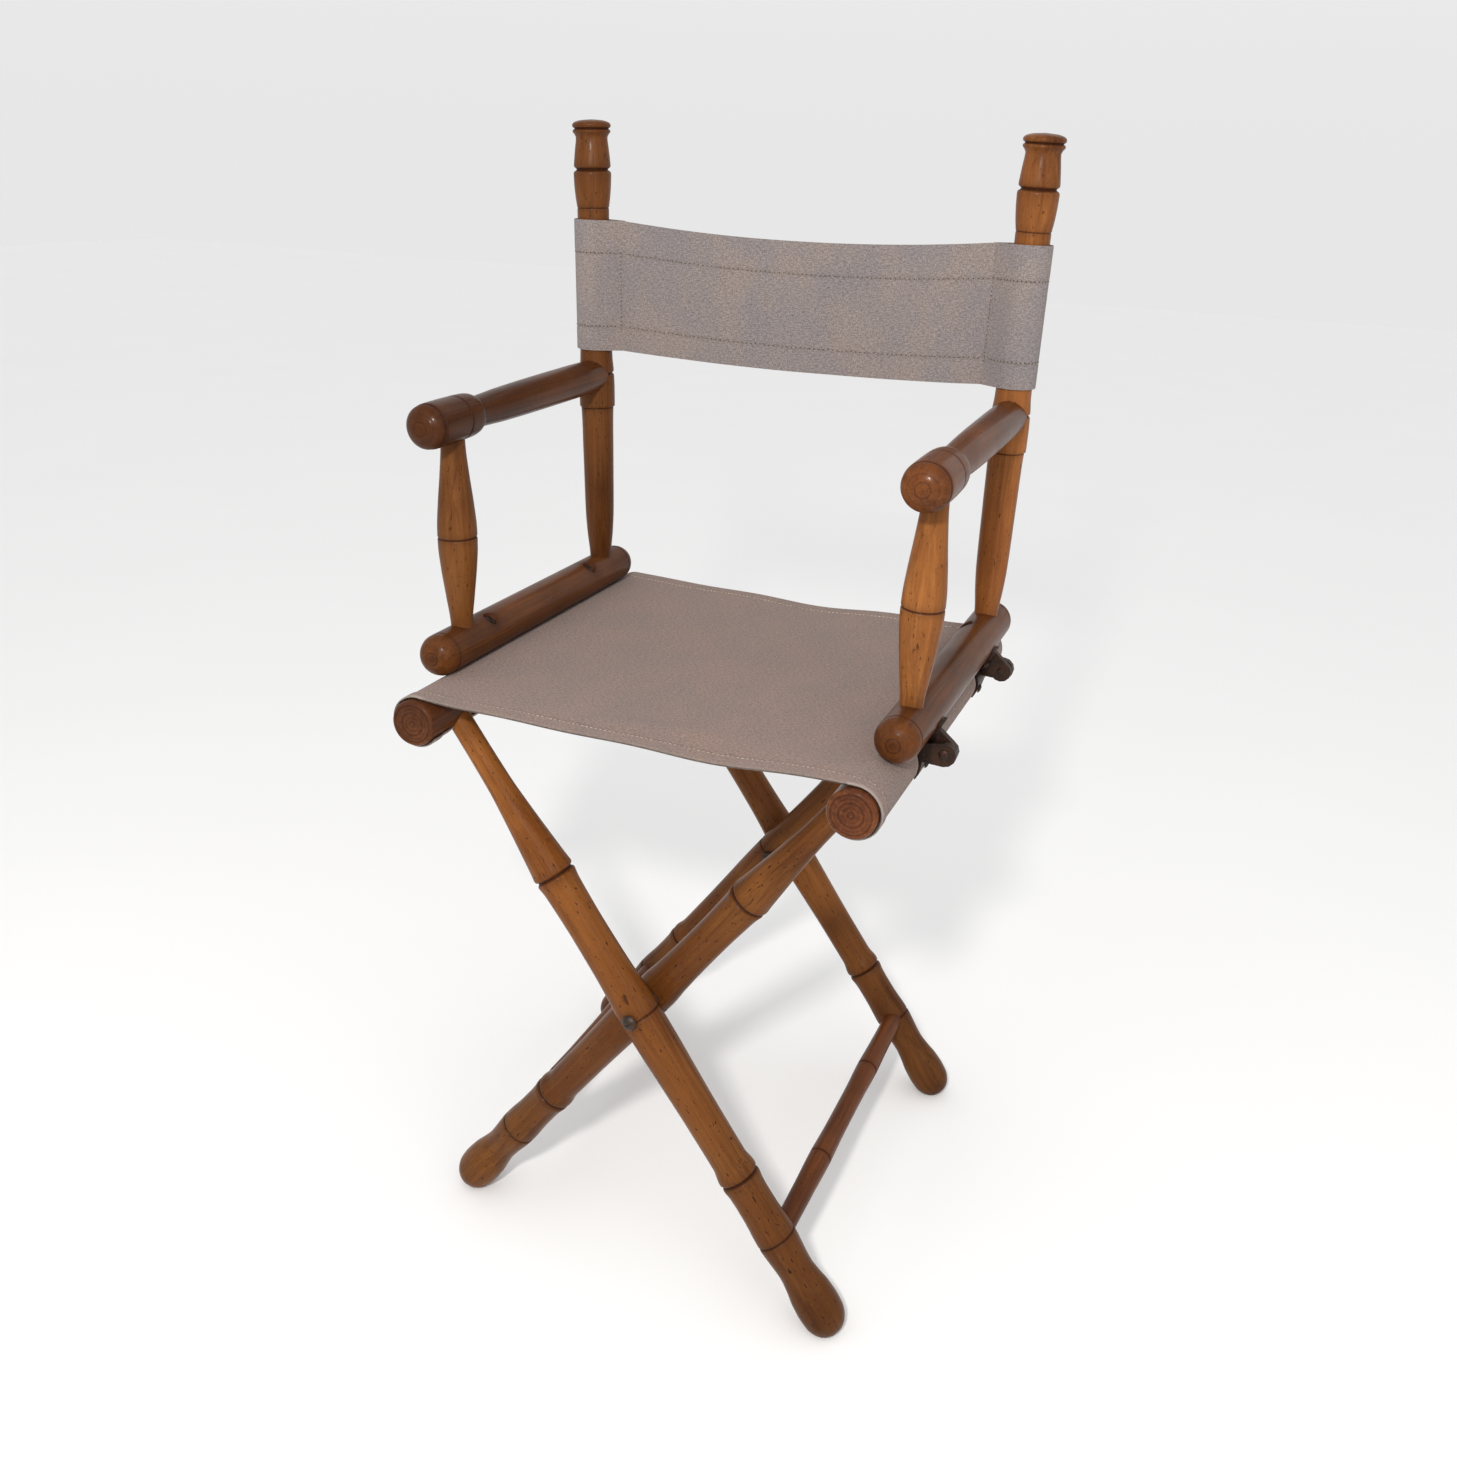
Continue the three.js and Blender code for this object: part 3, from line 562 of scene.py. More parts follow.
for label, body, rail in (("outer", "outer_frame", "left"), ("inner", "inner_frame", "right")):
    for where, y, inward in (("front", LEG_Y[label][0], 1), ("rear", LEG_Y[label][1], -1)):
        start, way = leg_line(label, y)
        mating = inward if label == "outer" else -inward
        bolt = np.array([0, y - mating * 15, PIVOT_Z])
        # Painted light and shade: the outer legs are lit near the top and shaded towards the feet, and the
        # inner legs are shaded; painted shade spots at the pivot bolt, the rail socket and the foot.
        turned(f"leg_{label}_{where}", LEG_PROFILE, LEG_GROOVES, start, way, body, LEG_WOOD,
               painted_shade_spots=[(bolt, 8.5, 0.7), (start + way * 20, 15, 0.45), (start + way * 565, 14, 0.3)],
               shape=leg_shape(y, mating), tone=(1.15, 0.45) if label == "outer" else (0.72, 0.55))
    front, way = leg_line(label, LEG_Y[label][0] + 6)
    rear, _ = leg_line(label, LEG_Y[label][1] - 6)
    off = np.array([LEG_SIDE[label] * STRETCHER_OFF, 0, 0])
    a, b = front + way * STRETCHER_AT + off, rear + way * STRETCHER_AT + off
    long = np.linalg.norm(b - a)
    mid = long / 2
    profile = [(0, 8.3), (long * 0.16, 8.7), (mid - 67, 9.4), (mid - 30, 8.7), (mid, 8.6), (mid + 30, 8.7),
               (mid + 67, 9.4), (long * 0.84, 8.7), (long, 8.3)]
    # Painted shade spots where the stretcher meets the legs.
    turned(f"stretcher_{label}", profile, [(mid - 67, 0.9, 0.9, 1), (mid + 67, 0.9, 0.9, 1)], a, b - a, body,
           STRETCHER_WOOD, segments=32,
           painted_shade_spots=[(a, 14, 0.6), (b, 14, 0.6)])

# ---- rails ----
# Each hinge's middle along the rail, and which way is outwards from there.
HINGE_SPOTS = {"front": (HINGE_MID - HINGE_Y, -1), "rear": (HINGE_MID + HINGE_Y, 1)}


def bolt_line(side, where):
    """The bolt that holds the arm leaf: its axis through the arm rail, pointing outwards and down."""
    y, out = HINGE_SPOTS[where]
    angle = math.radians(BOLT_TILT)
    middle = np.array([side * ARM_X, y - LEAF_FIX * out, ARM_Z])
    return middle, np.array([side * math.cos(angle), 0, math.sin(angle)])


# Rings cut in the seat rails' end faces: (radius, depth, half width, strength of the painted shade in the
# ring).
END_RINGS = [(2.2, 0.5, 0.6, 0.6), (5.4, 0.35, 0.5, 0.4), (8.6, 0.55, 0.7, 0.6), (11.6, 0.35, 0.5, 0.35),
             (14.2, 0.6, 0.7, 0.6)]
RAIL_FACES = [(end, *ring) for end in (0, SEAT_LENGTH) for ring in END_RINGS]
for name, side in SIDES.items():
    legs = "outer" if side < 0 else "inner"
    # Painted shade spots where the legs go into the rail; the tone is painted shade on the left rail and
    # painted light on the right one.
    sockets = [(leg_line(legs, y)[0] + leg_line(legs, y)[1] * 18, 12, 0.6) for y in LEG_Y[legs]]
    turned(f"seat_rail_{name}", SEAT_RAIL_PROFILE, [], [side * SEAT_X, SEAT_FRONT, SEAT_Z], [0, 1, 0],
           FRAME_BODY[name], SEAT_RAIL_WOOD, segments=56, step=4, faces=RAIL_FACES,
           painted_shade_spots=sockets,
           tone=(0.7, 0.7) if side < 0 else (1.15, 1))
    # Painted shade spots where the spindle and the post go in, and deep painted shade in the bolt recesses.
    cutters, painted_shade_spots = [], [(at_side(SPINDLE_FOOT, side), 12, 0.4), (at_side(POST_FOOT, side), 13, 0.4)]
    for where in HINGE_SPOTS:
        middle, out = bolt_line(side, where)
        cutters.append(plug("recess", middle - out * 30, middle - out * 12, RECESS_R))
        painted_shade_spots.append((middle - out * 15.4, 8.8, 0.95))
    turned(f"arm_rail_{name}", ARM_RAIL_PROFILE, ARM_RAIL_GROOVES, [side * ARM_X, ARM_FRONT, ARM_Z],
           [0, 1, 0], ARM_BODY[name], ARM_RAIL_WOOD, segments=56, step=3,
           cutters=cutters, painted_shade_spots=painted_shade_spots,
           faces=[(0, 5.0, 0.25, 0.4, 0.9), (0, 1.5, 0.15, 1.8, 0.5), (0, 9.5, 0.15, 0.4, 0.35)])
    # Painted shade spots at both ends; the tone is painted shade, strong on the left spindle and slight on the
    # right one.
    turned(f"front_spindle_{name}", SPINDLE_PROFILE, SPINDLE_GROOVES, at_side(SPINDLE_FOOT, side),
           at_side(SPINDLE_UP, side), ARM_BODY[name], SPINDLE_WOOD,
           painted_shade_spots=[(at_side(SPINDLE_FOOT, side), 9, 0.5),
                   (at_side(SPINDLE_FOOT + SPINDLE_UP * 142, side), 9, 0.5)],
           tone=(0.5, 0.5) if side < 0 else (0.88, 0.85))
    # Painted shade spots at the foot and where the armrest joins; the tone is painted shade on the left post
    # and painted light on the right one, strongest at its foot.
    turned(f"back_post_{name}", POST_PROFILE, POST_GROOVES, at_side(POST_FOOT, side), at_side(POST_UP, side),
           ARM_BODY[name], POST_WOOD, step=2,
           painted_shade_spots=[(at_side(POST_FOOT, side), 10, 0.6), (at_side(ARM_JOINT, side), 17, 0.5)],
           tone=(0.52, 0.62) if side < 0 else (1.35, 0.9))
    # Painted shade spot at the joint with the post; the tone is painted shade on the left armrest and painted
    # light near the tip of the right one.
    turned(f"armrest_{name}", ARMREST_PROFILE, ARMREST_GROOVES, at_side(ARM_TIP, side),
           at_side(ARM_DIR, side), ARM_BODY[name], ARMREST_WOOD, segments=56, step=2,
           faces=[(0, 5.2, 0.2, 0.5, 0.6), (0, 10.5, 0.15, 0.5, 0.35)],
           painted_shade_spots=[(at_side(ARM_JOINT - ARM_DIR * 12, side), 9, 0.7)],
           tone=(0.6, 0.8) if side < 0 else (1.15, 0.85))


# ---- fittings ----
def fitting(name, points, origin, direction, body, node, material, segments=24, cutters=()):
    """A small turned metal piece, with its sharp edges kept."""
    p = np.array(points, float)
    thing = revolve(name, p[:, 0], p[:, 1], origin, direction, segments)
    for cutter in cutters:
        carve(thing, cutter)
    thing.data.set_sharp_from_angle(angle=math.radians(35))
    return finish_piece(thing, body, [node], material)


def block(name, centre, axes, sizes):
    """A box from its centre, three unit axes and three lengths."""
    def corner(signs):
        reach = (np.asarray(a, float) * s * k / 2 for a, s, k in zip(axes, sizes, signs))
        return np.asarray(centre, float) + sum(reach)

    corners = [corner((*around, k)) for k in (-1, 1) for around in ((-1, -1), (1, -1), (1, 1), (-1, 1))]
    faces = [(0, 3, 2, 1), (4, 5, 6, 7), (0, 1, 5, 4), (1, 2, 6, 5), (2, 3, 7, 6), (3, 0, 4, 7)]
    return new_mesh(name, corners, faces, smooth=False)


def slot_cutter(point, direction, turn, length=14.0, width=1.3, depth=1.6):
    """The cutter for a screwdriver slot in a head whose top is at point."""
    d = unit(direction)
    a, b = basis(d)
    along = a * math.cos(turn) + b * math.sin(turn)
    return block("slot", point, [along, np.cross(d, along), d], [length, width, depth])


for where, i, out in (("front", 0, -1), ("rear", 1, 1)):
    outer, inner = LEG_Y["outer"][i], LEG_Y["inner"][i]
    head = np.array([0, outer + out * (PIVOT_SEAT + 0.3), PIVOT_Z])
    long = abs(head[1] - inner) + PIVOT_SEAT + 7.5
    fitting(f"pivot_bolt_{where}_head",
            [(-3.5, 0), (-3.4, 1.6), (-3.0, 3.2), (-2.2, 4.7), (-1.0, 5.8), (-0.3, 6.15),
             (0, 6.0), (0, 3), (long - 0.6, 3), (long, 2.4), (long, 0)],
            head, [0, -out, 0], "pivot_core", f"pivot_bolt_{where}", STEEL, 32,
            [slot_cutter(head + [0, out * 3.5, 0], [0, out, 0], 0.6 + i)])
    middle = (outer + inner) / 2
    thick = abs(outer - inner) - 2 * PIVOT_FLAT - 0.6
    for kind, y0, y1, r, sides in (
            ("washer", middle - thick / 2, middle + thick / 2, 10.6, 40),
            ("nut", inner - out * (PIVOT_SEAT + 0.3), inner - out * (PIVOT_SEAT + 5.3), 6.0, 6)):
        t = abs(y1 - y0)
        edge = min(0.4, t / 4)
        fitting(f"pivot_{kind}_{where}_ring",
                [(0, 0), (0, r - edge), (edge, r), (t - edge, r), (t, r - edge), (t, 0)],
                [0, y0, PIVOT_Z], [0, math.copysign(1, y1 - y0), 0], "pivot_core", f"pivot_{kind}_{where}",
                STEEL, sides)

for name, side in SIDES.items():
    for where, (y, out) in HINGE_SPOTS.items():
        tag = f"{where}_{name}"
        pin = np.array([side * HINGE_X, y + out * PIN_HEAD, HINGE_Z])
        fitting(f"hinge_rivet_{tag}", [(0, 0), (0.1, 1.6), (0.5, 3.0), (1.1, 3.9), (1.6, 4.0), (1.6, 2.7),
                                        (14.2, 2.7), (14.2, 3.3), (15.0, 2.6), (15.2, 0)],
                pin, [0, -out, 0], FRAME_BODY[name], f"hinge_pin_{tag}", IRON)
        middle, axis = bolt_line(side, where)
        head = middle - axis * (ARM_R - HEAD_SUNK)
        reach = 2 * (ARM_R + 0.4) + 4.4
        fitting(f"hinge_bolt_{tag}_head", [(0, 0), (0.1, 2.4), (0.7, 4.2), (1.4, 4.9), (2.4, 4.9), (2.4, 2.5),
                                            (reach - 0.5, 2.5), (reach, 2.0), (reach, 0)],
                head, axis, ARM_BODY[name], f"hinge_bolt_{tag}", IRON, 28,
                [slot_cutter(head, -axis, 0.5 + len(tag), 12, 1.2, 1.8)])
        nut = middle + axis * (ARM_R + 0.4 + 2.4 + 0.3)
        fitting(f"hinge_nut_{tag}_hex", [(0, 0), (0, 4.2), (0.4, 4.6), (2.0, 4.6), (2.5, 4.0), (2.5, 0)],
                nut, axis, ARM_BODY[name], f"hinge_nut_{tag}", IRON, 6)
        angle = math.radians(SCREW_TILT)
        screw_axis = np.array([side * math.cos(angle), 0, math.sin(angle)])
        seat = np.array([side * SEAT_X, y - LEAF_FIX * out, SEAT_Z])
        top = seat + screw_axis * (SEAT_R + 0.4 + 2.4 + 2.1)
        fitting(f"hinge_screw_{tag}_head",
                [(0, 0), (0.15, 1.8), (0.8, 3.2), (1.8, 3.9), (1.8, 2.1), (14, 1.8), (15, 0)],
                top, -screw_axis, FRAME_BODY[name], f"hinge_screw_{tag}", IRON, 24,
                [slot_cutter(top, screw_axis, 0.9, 10, 0.9, 1.2)])
        for leaf in ("seat", "arm"):
            plate = NODES[f"hinge_{leaf}_leaf_{tag}"]
            plate.data.materials.clear()
            plate.data.materials.append(IRON)
            bevel = plate.modifiers.new("worn edges", "BEVEL")
            bevel.width, bevel.segments = 0.5 * MM, 2
            bevel.limit_method, bevel.angle_limit = "ANGLE", math.radians(40)


# ---- cloth ----
def ease(x, low, high):
    t = np.clip((x - low) / (high - low), 0, 1)
    return t * t * (3 - 2 * t)


def cloth_piece(name, points, normals, thick, keep, uv, fray_and_highlight, dark, flip, material, joined=(0, 0)):
    """A closed sheet from a grid of middle points. keep says which cells are cloth, so notches are left out.

    joined says whether the first and the last row go on in a neighbouring piece and so are not raw edges.
    """
    nu, nv = points.shape[:2]
    full = np.zeros((nu + 1, nv + 1), bool)
    full[1:nu, 1:nv] = keep
    around = np.stack([full[:-1, :-1], full[1:, :-1], full[:-1, 1:], full[1:, 1:]])
    used, edge = around.any(0), around.any(0) & ~around.all(0)
    for row, goes_on in ((0, joined[0]), (-1, joined[1])):
        if goes_on:
            edge[row, 1:-1] = False
    half = np.where(edge, 0.28, 0.5) * thick
    top, under = points + normals * half[..., None], points - normals * half[..., None]
    number = -np.ones((nu, nv), int)
    number[used] = np.arange(used.sum())
    count = int(used.sum())
    faces = []

    def add(*corners):
        faces.append(corners[::-1] if flip else corners)

    for i in range(nu - 1):
        for j in range(nv - 1):
            if not keep[i, j]:
                continue
            a, b, c, d = number[i, j], number[i + 1, j], number[i + 1, j + 1], number[i, j + 1]
            add(a, b, c, d)
            add(count + d, count + c, count + b, count + a)
            if not full[i + 1, j]:
                add(b, a, count + a, count + b)
            if not full[i + 1, j + 2]:
                add(d, c, count + c, count + d)
            if not full[i, j + 1]:
                add(a, d, count + d, count + a)
            if not full[i + 2, j + 1]:
                add(c, b, count + b, count + c)
    thing = new_mesh(name, np.concatenate([top[used], under[used]]), faces)
    shading = np.cross(np.gradient(points, axis=0), np.gradient(points, axis=1))
    shading *= np.sign((shading * normals).sum(-1, keepdims=True))
    shading = (shading / np.linalg.norm(shading, axis=-1, keepdims=True))[used]
    thing.data.normals_split_custom_set_from_vertices(np.concatenate([shading, -shading]))
    flat = np.concatenate([np.c_[uv[used], np.zeros(count)], np.c_[uv[used], np.full(count, UNDERSIDE)]])
    set_attribute(thing, "cloth_at", flat * MM)
    # Raw edges are paler, partly from their fibres and partly as painted highlight, added to the pale marks
    # passed in; the dark marks are painted shade.
    pale = np.where(edge, 0.15, 0.0) + fray_and_highlight
    set_attribute(thing, "fray_and_highlight", np.clip(np.tile(pale[used], 2), 0, 1))
    set_attribute(thing, "dark", np.clip(np.tile(dark[used], 2), 0, 1))
    thing.data.materials.append(material)
    return thing


def stitches(name, rows, thread, length, radius, pitch, hole):
    """Small rounded stitches lying along rows, with needle holes between them that hold painted shade; a row
    is (points, normals).
    """
    points, faces, dark = [], [], []
    sides = 6
    for line, normal in rows:
        line, normal = np.asarray(line, float), np.asarray(normal, float)
        far = np.r_[0, np.cumsum(np.linalg.norm(np.diff(line, axis=0), axis=1))]
        for k, at in enumerate(np.arange(pitch / 2, far[-1] - pitch / 3, pitch)):
            here = np.array([np.interp(at, far, line[:, c]) for c in range(3)])
            ahead = np.array([np.interp(at + 0.5, far, line[:, c]) for c in range(3)])
            up = unit([np.interp(at, far, normal[:, c]) for c in range(3)])
            way = unit(ahead - here)
            across = np.cross(up, way)
            way = unit(way + across * 0.10 * math.sin(7.3 * k + at))
            across = unit(np.cross(up, way))
            # A needle hole is a small sunken bead whose shade mark is 1: painted shade.
            beads = [(here, length, radius, 0.12, 0.0),
                     (here + way * pitch / 2, 1.9 * hole, hole, -0.7 * hole, 1.0)]
            for middle, long, thick, rise, shade in beads:
                base = len(points)
                for t, size, lift in ((-0.5, 0.45, -0.3), (-0.25, 1.0, 0), (0.25, 1.0, 0), (0.5, 0.45, -0.3)):
                    for q in range(sides):
                        a = 2 * math.pi * q / sides
                        high = rise + lift * thick + thick * size * math.sin(a)
                        points.append(middle + way * t * long + up * high
                                      + across * thick * size * math.cos(a))
                        dark.append(shade)
                for ring in range(3):
                    for q in range(sides):
                        w = (q + 1) % sides
                        faces.append((base + ring * sides + q, base + ring * sides + w,
                                      base + (ring + 1) * sides + w, base + (ring + 1) * sides + q))
                faces.append(tuple(base + q for q in range(sides))[::-1])
                faces.append(tuple(base + 3 * sides + q for q in range(sides)))
    thing = new_mesh(name, points, faces)
    co = coordinates(thing)
    set_attribute(thing, "cloth_at", co * MM)
    set_attribute(thing, "fray_and_highlight", np.zeros(len(co)))
    set_attribute(thing, "dark", dark)
    thing.data.materials.append(thread)
    return thing


def lines_through(low, high, step, needed):
    """Evenly spaced grid lines that also pass through the needed values."""
    lines = list(np.linspace(low, high, int(round((high - low) / step)) + 1))
    for value in needed:
        if low < value < high:
            nearest = min(range(1, len(lines) - 1), key=lambda k: abs(lines[k] - value))
            lines[nearest] = value
    return np.array(sorted(lines))


WRAP_END, WRAP_TOP = -145.0, 90.0  # degrees round the rail, from its outer side
SEAT_MID_R = SEAT_R + 0.35 + CLOTH / 2
HEM = 13.0
HINGE_NOTCH, LEG_NOTCH = (-62.0, 41.0), -108.0  # how far round the rail the notches go, in degrees
HINGE_INWARD, HINGE_OUTWARD, LEG_HALF = 17.0, 13.0, 12.0  # their reach along it


def seat_sag(x, y):
    """How far the seat hangs below the line between the rails."""
    across = np.clip(1 - (x / SEAT_X) ** 2, 0, 1)
    depth = 1.6 + 2.6 * ease(y, SEAT_CLOTH_FRONT, SEAT_CLOTH_REAR)
    sag = depth * across
    pull = 0.55 * np.sin(x / 31 + y / 47 + 0.6) + 0.45 * np.sin(x / 19 - y / 38 + 2.1)
    pull = pull + 0.35 * np.sin(y / 13 + x / 52) * np.exp(-((y + 150) / 60) ** 2)
    edge = (1 - ease(y, SEAT_CLOTH_FRONT, SEAT_CLOTH_FRONT + 24)) * across
    ridge = bell(y, SEAT_CLOTH_FRONT + 30 + 5 * np.sin(x / 34), 11)
    ridge = ridge * (0.8 + 0.5 * np.sin(x / 27 + 1.4)) * across
    dip = bell(x, -118 + 0.1 * (y + 60), 26) * bell(y, -20, 110)
    return sag - 1.8 * pull * np.sqrt(across) + 1.8 * edge - 1.9 * ridge + 2.2 * dip


def seat_surface(side, u, v):
    """Middle surface, outward normal and thickness of half the seat; u runs from under the rail inwards."""
    wrap = math.radians(WRAP_TOP - WRAP_END) * SEAT_MID_R
    angle = np.radians(WRAP_END) + np.minimum(u, wrap) / SEAT_MID_R
    out = np.where(u < wrap, SEAT_X + SEAT_MID_R * np.cos(angle), SEAT_X - (u - wrap))
    on_top = u > wrap
    z = np.where(on_top, SEAT_Z + SEAT_MID_R - seat_sag(side * out, v), SEAT_Z + SEAT_MID_R * np.sin(angle))
    thick = CLOTH + 0.9 * (1 - ease(v, SEAT_CLOTH_FRONT + HEM - 1.5, SEAT_CLOTH_FRONT + HEM + 0.5))
    thick = thick + 0.8 * ease(v, SEAT_CLOTH_REAR - HEM, SEAT_CLOTH_REAR - HEM + 2)
    thick = thick - 0.35 * bell(v, SEAT_CLOTH_FRONT + HEM, 1.6)
    lift = (thick - CLOTH) / 2
    normal_x = np.where(on_top, 0.0, np.cos(angle))
    normal_z = np.where(on_top, 1.0, np.sin(angle))
    points = np.stack([side * (out + normal_x * lift), v, z + normal_z * lift], -1)
    return points, np.stack([side * normal_x, np.zeros_like(u), normal_z], -1), thick


def seat_half(name, side):
    wrap = math.radians(WRAP_TOP - WRAP_END) * SEAT_MID_R
    at_angle = lambda degrees: math.radians(degrees - WRAP_END) * SEAT_MID_R
    notches, notch = [], (at_angle(HINGE_NOTCH[0]), at_angle(HINGE_NOTCH[1]))
    for y, out in HINGE_SPOTS.values():
        low, high = sorted((y - HINGE_INWARD * out, y + HINGE_OUTWARD * out))
        notches.append((*notch, low, high))
    for y in LEG_Y["outer" if side < 0 else "inner"]:
        notches.append((-1, at_angle(LEG_NOTCH), y - LEG_HALF, y + LEG_HALF))
    us = lines_through(0, wrap + SEAT_X, 2.6, [*notch, at_angle(LEG_NOTCH), wrap])
    vs = lines_through(SEAT_CLOTH_FRONT, SEAT_CLOTH_REAR, 3.4,
                       [n[2] for n in notches] + [n[3] for n in notches]
                       + [SEAT_CLOTH_FRONT + HEM, SEAT_CLOTH_REAR - HEM])
    vs = np.sort(np.r_[vs, SEAT_CLOTH_FRONT + 0.6, SEAT_CLOTH_FRONT + HEM - 1.2, SEAT_CLOTH_FRONT + HEM + 1.2,
                       SEAT_CLOTH_REAR - 0.6])
    u, v = np.meshgrid(us, vs, indexing="ij")
    points, normals, thick = seat_surface(side, u, v)
    keep = np.ones((len(us) - 1, len(vs) - 1), bool)
    um, vm = (us[:-1] + us[1:]) / 2, (vs[:-1] + vs[1:]) / 2
    for u0, u1, v0, v1 in notches:
        keep &= ~((um[:, None] > u0) & (um[:, None] < u1) & (vm > v0) & (vm < v1))
    # Pale front edge: painted highlight along the fold, plus paler frayed fibres where it wraps round the rail
    # and round the notches; a line of painted shade in the crease just behind the hem.
    fray_and_highlight = (0.12 + 0.5 * (u < wrap + 6)) * (1 - ease(v, SEAT_CLOTH_FRONT, SEAT_CLOTH_FRONT + 2))
    dark = 0.35 * bell(v, SEAT_CLOTH_FRONT + HEM + 0.4, 0.9)
    for u0, u1, v0, v1 in notches:
        du = np.maximum(np.maximum(u0 - u, u - u1), 0)
        dv = np.maximum(np.maximum(v0 - v, v - v1), 0)
        fray_and_highlight = fray_and_highlight + 0.8 * np.exp(-((np.hypot(du, dv) / 1.5) ** 2))
    weave_at = np.stack([side * (us[-1] - u), v], -1)
    piece = cloth_piece(f"seat_canvas_{name}", points, normals, thick, keep, weave_at, fray_and_highlight, dark, side > 0,
                        SEAT_LINEN, joined=(0, 1))
    rows = []
    run = np.linspace(at_angle(-120), us[-1], 160)
    for y in (SEAT_CLOTH_FRONT + HEM, SEAT_CLOTH_REAR - HEM):
        p, n, t = seat_surface(side, run, np.full_like(run, y))
        rows.append((p + n * (t / 2)[:, None], n))
    sewn = stitches(f"seat_stitches_{name}", rows, SEAT_THREAD, 2.4, 0.42, 3.6, 0.5)
    for thing in (piece, sewn):
        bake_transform(thing)
    return piece


seat_halves = [seat_half(name, side) for name, side in SIDES.items()]
for piece in seat_halves:
    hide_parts("seat_canvas")

# ---- back canvas ----
TOP_HEM, LOW_HEM = 27.0, 21.0
TALL = BACK_HIGH - BACK_LOW
HEM_SHARES = (LOW_HEM / TALL, 1 - TOP_HEM / TALL)


def back_height(x, h):
    """Height of a point at share h from the lower edge to the upper; both edges dip towards the middle."""
    middle = np.clip(1 - (x / BACK_STITCH) ** 2, 0, 1)
    return BACK_LOW + h * TALL - middle * (5 + 3.5 * h)


def back_axis(z):
    """The right post's axis at a height."""
    return POST_FOOT + POST_UP * ((z - FOOT_OF_ARM) / POST_UP[2])[..., None]


def seam_x(z):
    """Where the seam beside the right post is; it runs parallel to the post."""
    return BACK_STITCH + (z - (BACK_LOW + BACK_HIGH) / 2) * POST_UP[0] / POST_UP[2]


def hem_thickness(h):
    low, high = HEM_SHARES
    thick = CLOTH + 0.35 * (1 - ease(h, low - 0.02, low + 0.005)) + 0.35 * ease(h, high - 0.005, high + 0.02)
    return thick - 0.3 * bell(h, low, 0.012) - 0.3 * bell(h, high, 0.012)


def hem_shadow(h):
    return 0.12 * bell(h, HEM_SHARES[0], 0.008) + 0.12 * bell(h, HEM_SHARES[1], 0.008)


def back_panel_surface(x, h):
    z = back_height(x, h)
    axis = back_axis(z)
    middle = np.clip(1 - (x / BACK_STITCH) ** 2, 0, 1)
    x = x * seam_x(z) / BACK_STITCH
    ripple = 0.9 * np.sin(x / 41 + 0.8) + 0.6 * np.sin(x / 23 + z / 57) + 0.35 * np.sin(x / 11 - z / 33 + 1.0)
    y = axis[..., 1] - 0.6 + 5 * middle + ripple * np.sqrt(middle)
    slope = np.gradient(y, axis=0) / np.maximum(np.abs(np.gradient(x, axis=0)), 1e-6)
    normal = np.stack([slope, -np.ones_like(y), np.zeros_like(y)], -1)
    return np.stack([x, y, z], -1), normal / np.linalg.norm(normal, axis=-1, keepdims=True)


h_lines = np.unique(np.r_[np.linspace(0, 1, 38), 0.004, 0.996, HEM_SHARES])
x_lines = np.linspace(-BACK_STITCH - 0.3, BACK_STITCH + 0.3, 97)
x, h = np.meshgrid(x_lines, h_lines, indexing="ij")
points, normals = back_panel_surface(x, h)
back_panel = cloth_piece("back_canvas_panel", points, normals, hem_thickness(h),
                         np.ones((len(x_lines) - 1, len(h_lines) - 1), bool), points[..., [0, 2]],
                         np.zeros_like(x), hem_shadow(h), False, BACK_LINEN, joined=(1, 1))
run = np.linspace(3 - BACK_STITCH, BACK_STITCH - 3, 200)
rows = []
for share in HEM_SHARES:
    p, n = back_panel_surface(run[:, None], np.full((200, 1), share))
    rows.append((p[:, 0] + n[:, 0] * STITCH_LIFT, n[:, 0]))
panel_stitches = stitches("back_panel_stitches", rows, BACK_THREAD, 2.4, 0.34, 4.0, 0.72)
hinge_reach = math.hypot(HINGE_X, HINGE_Z - PIVOT_Z)
hinge_angle = math.atan2(HINGE_X, HINGE_Z - PIVOT_Z)
inward = HINGE_X - hinge_reach * math.sin(hinge_angle - math.radians(FOLD_ANGLE))
for thing in (back_panel, panel_stitches):
    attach(thing, "left_arm")
    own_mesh(thing)
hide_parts("back_canvas")


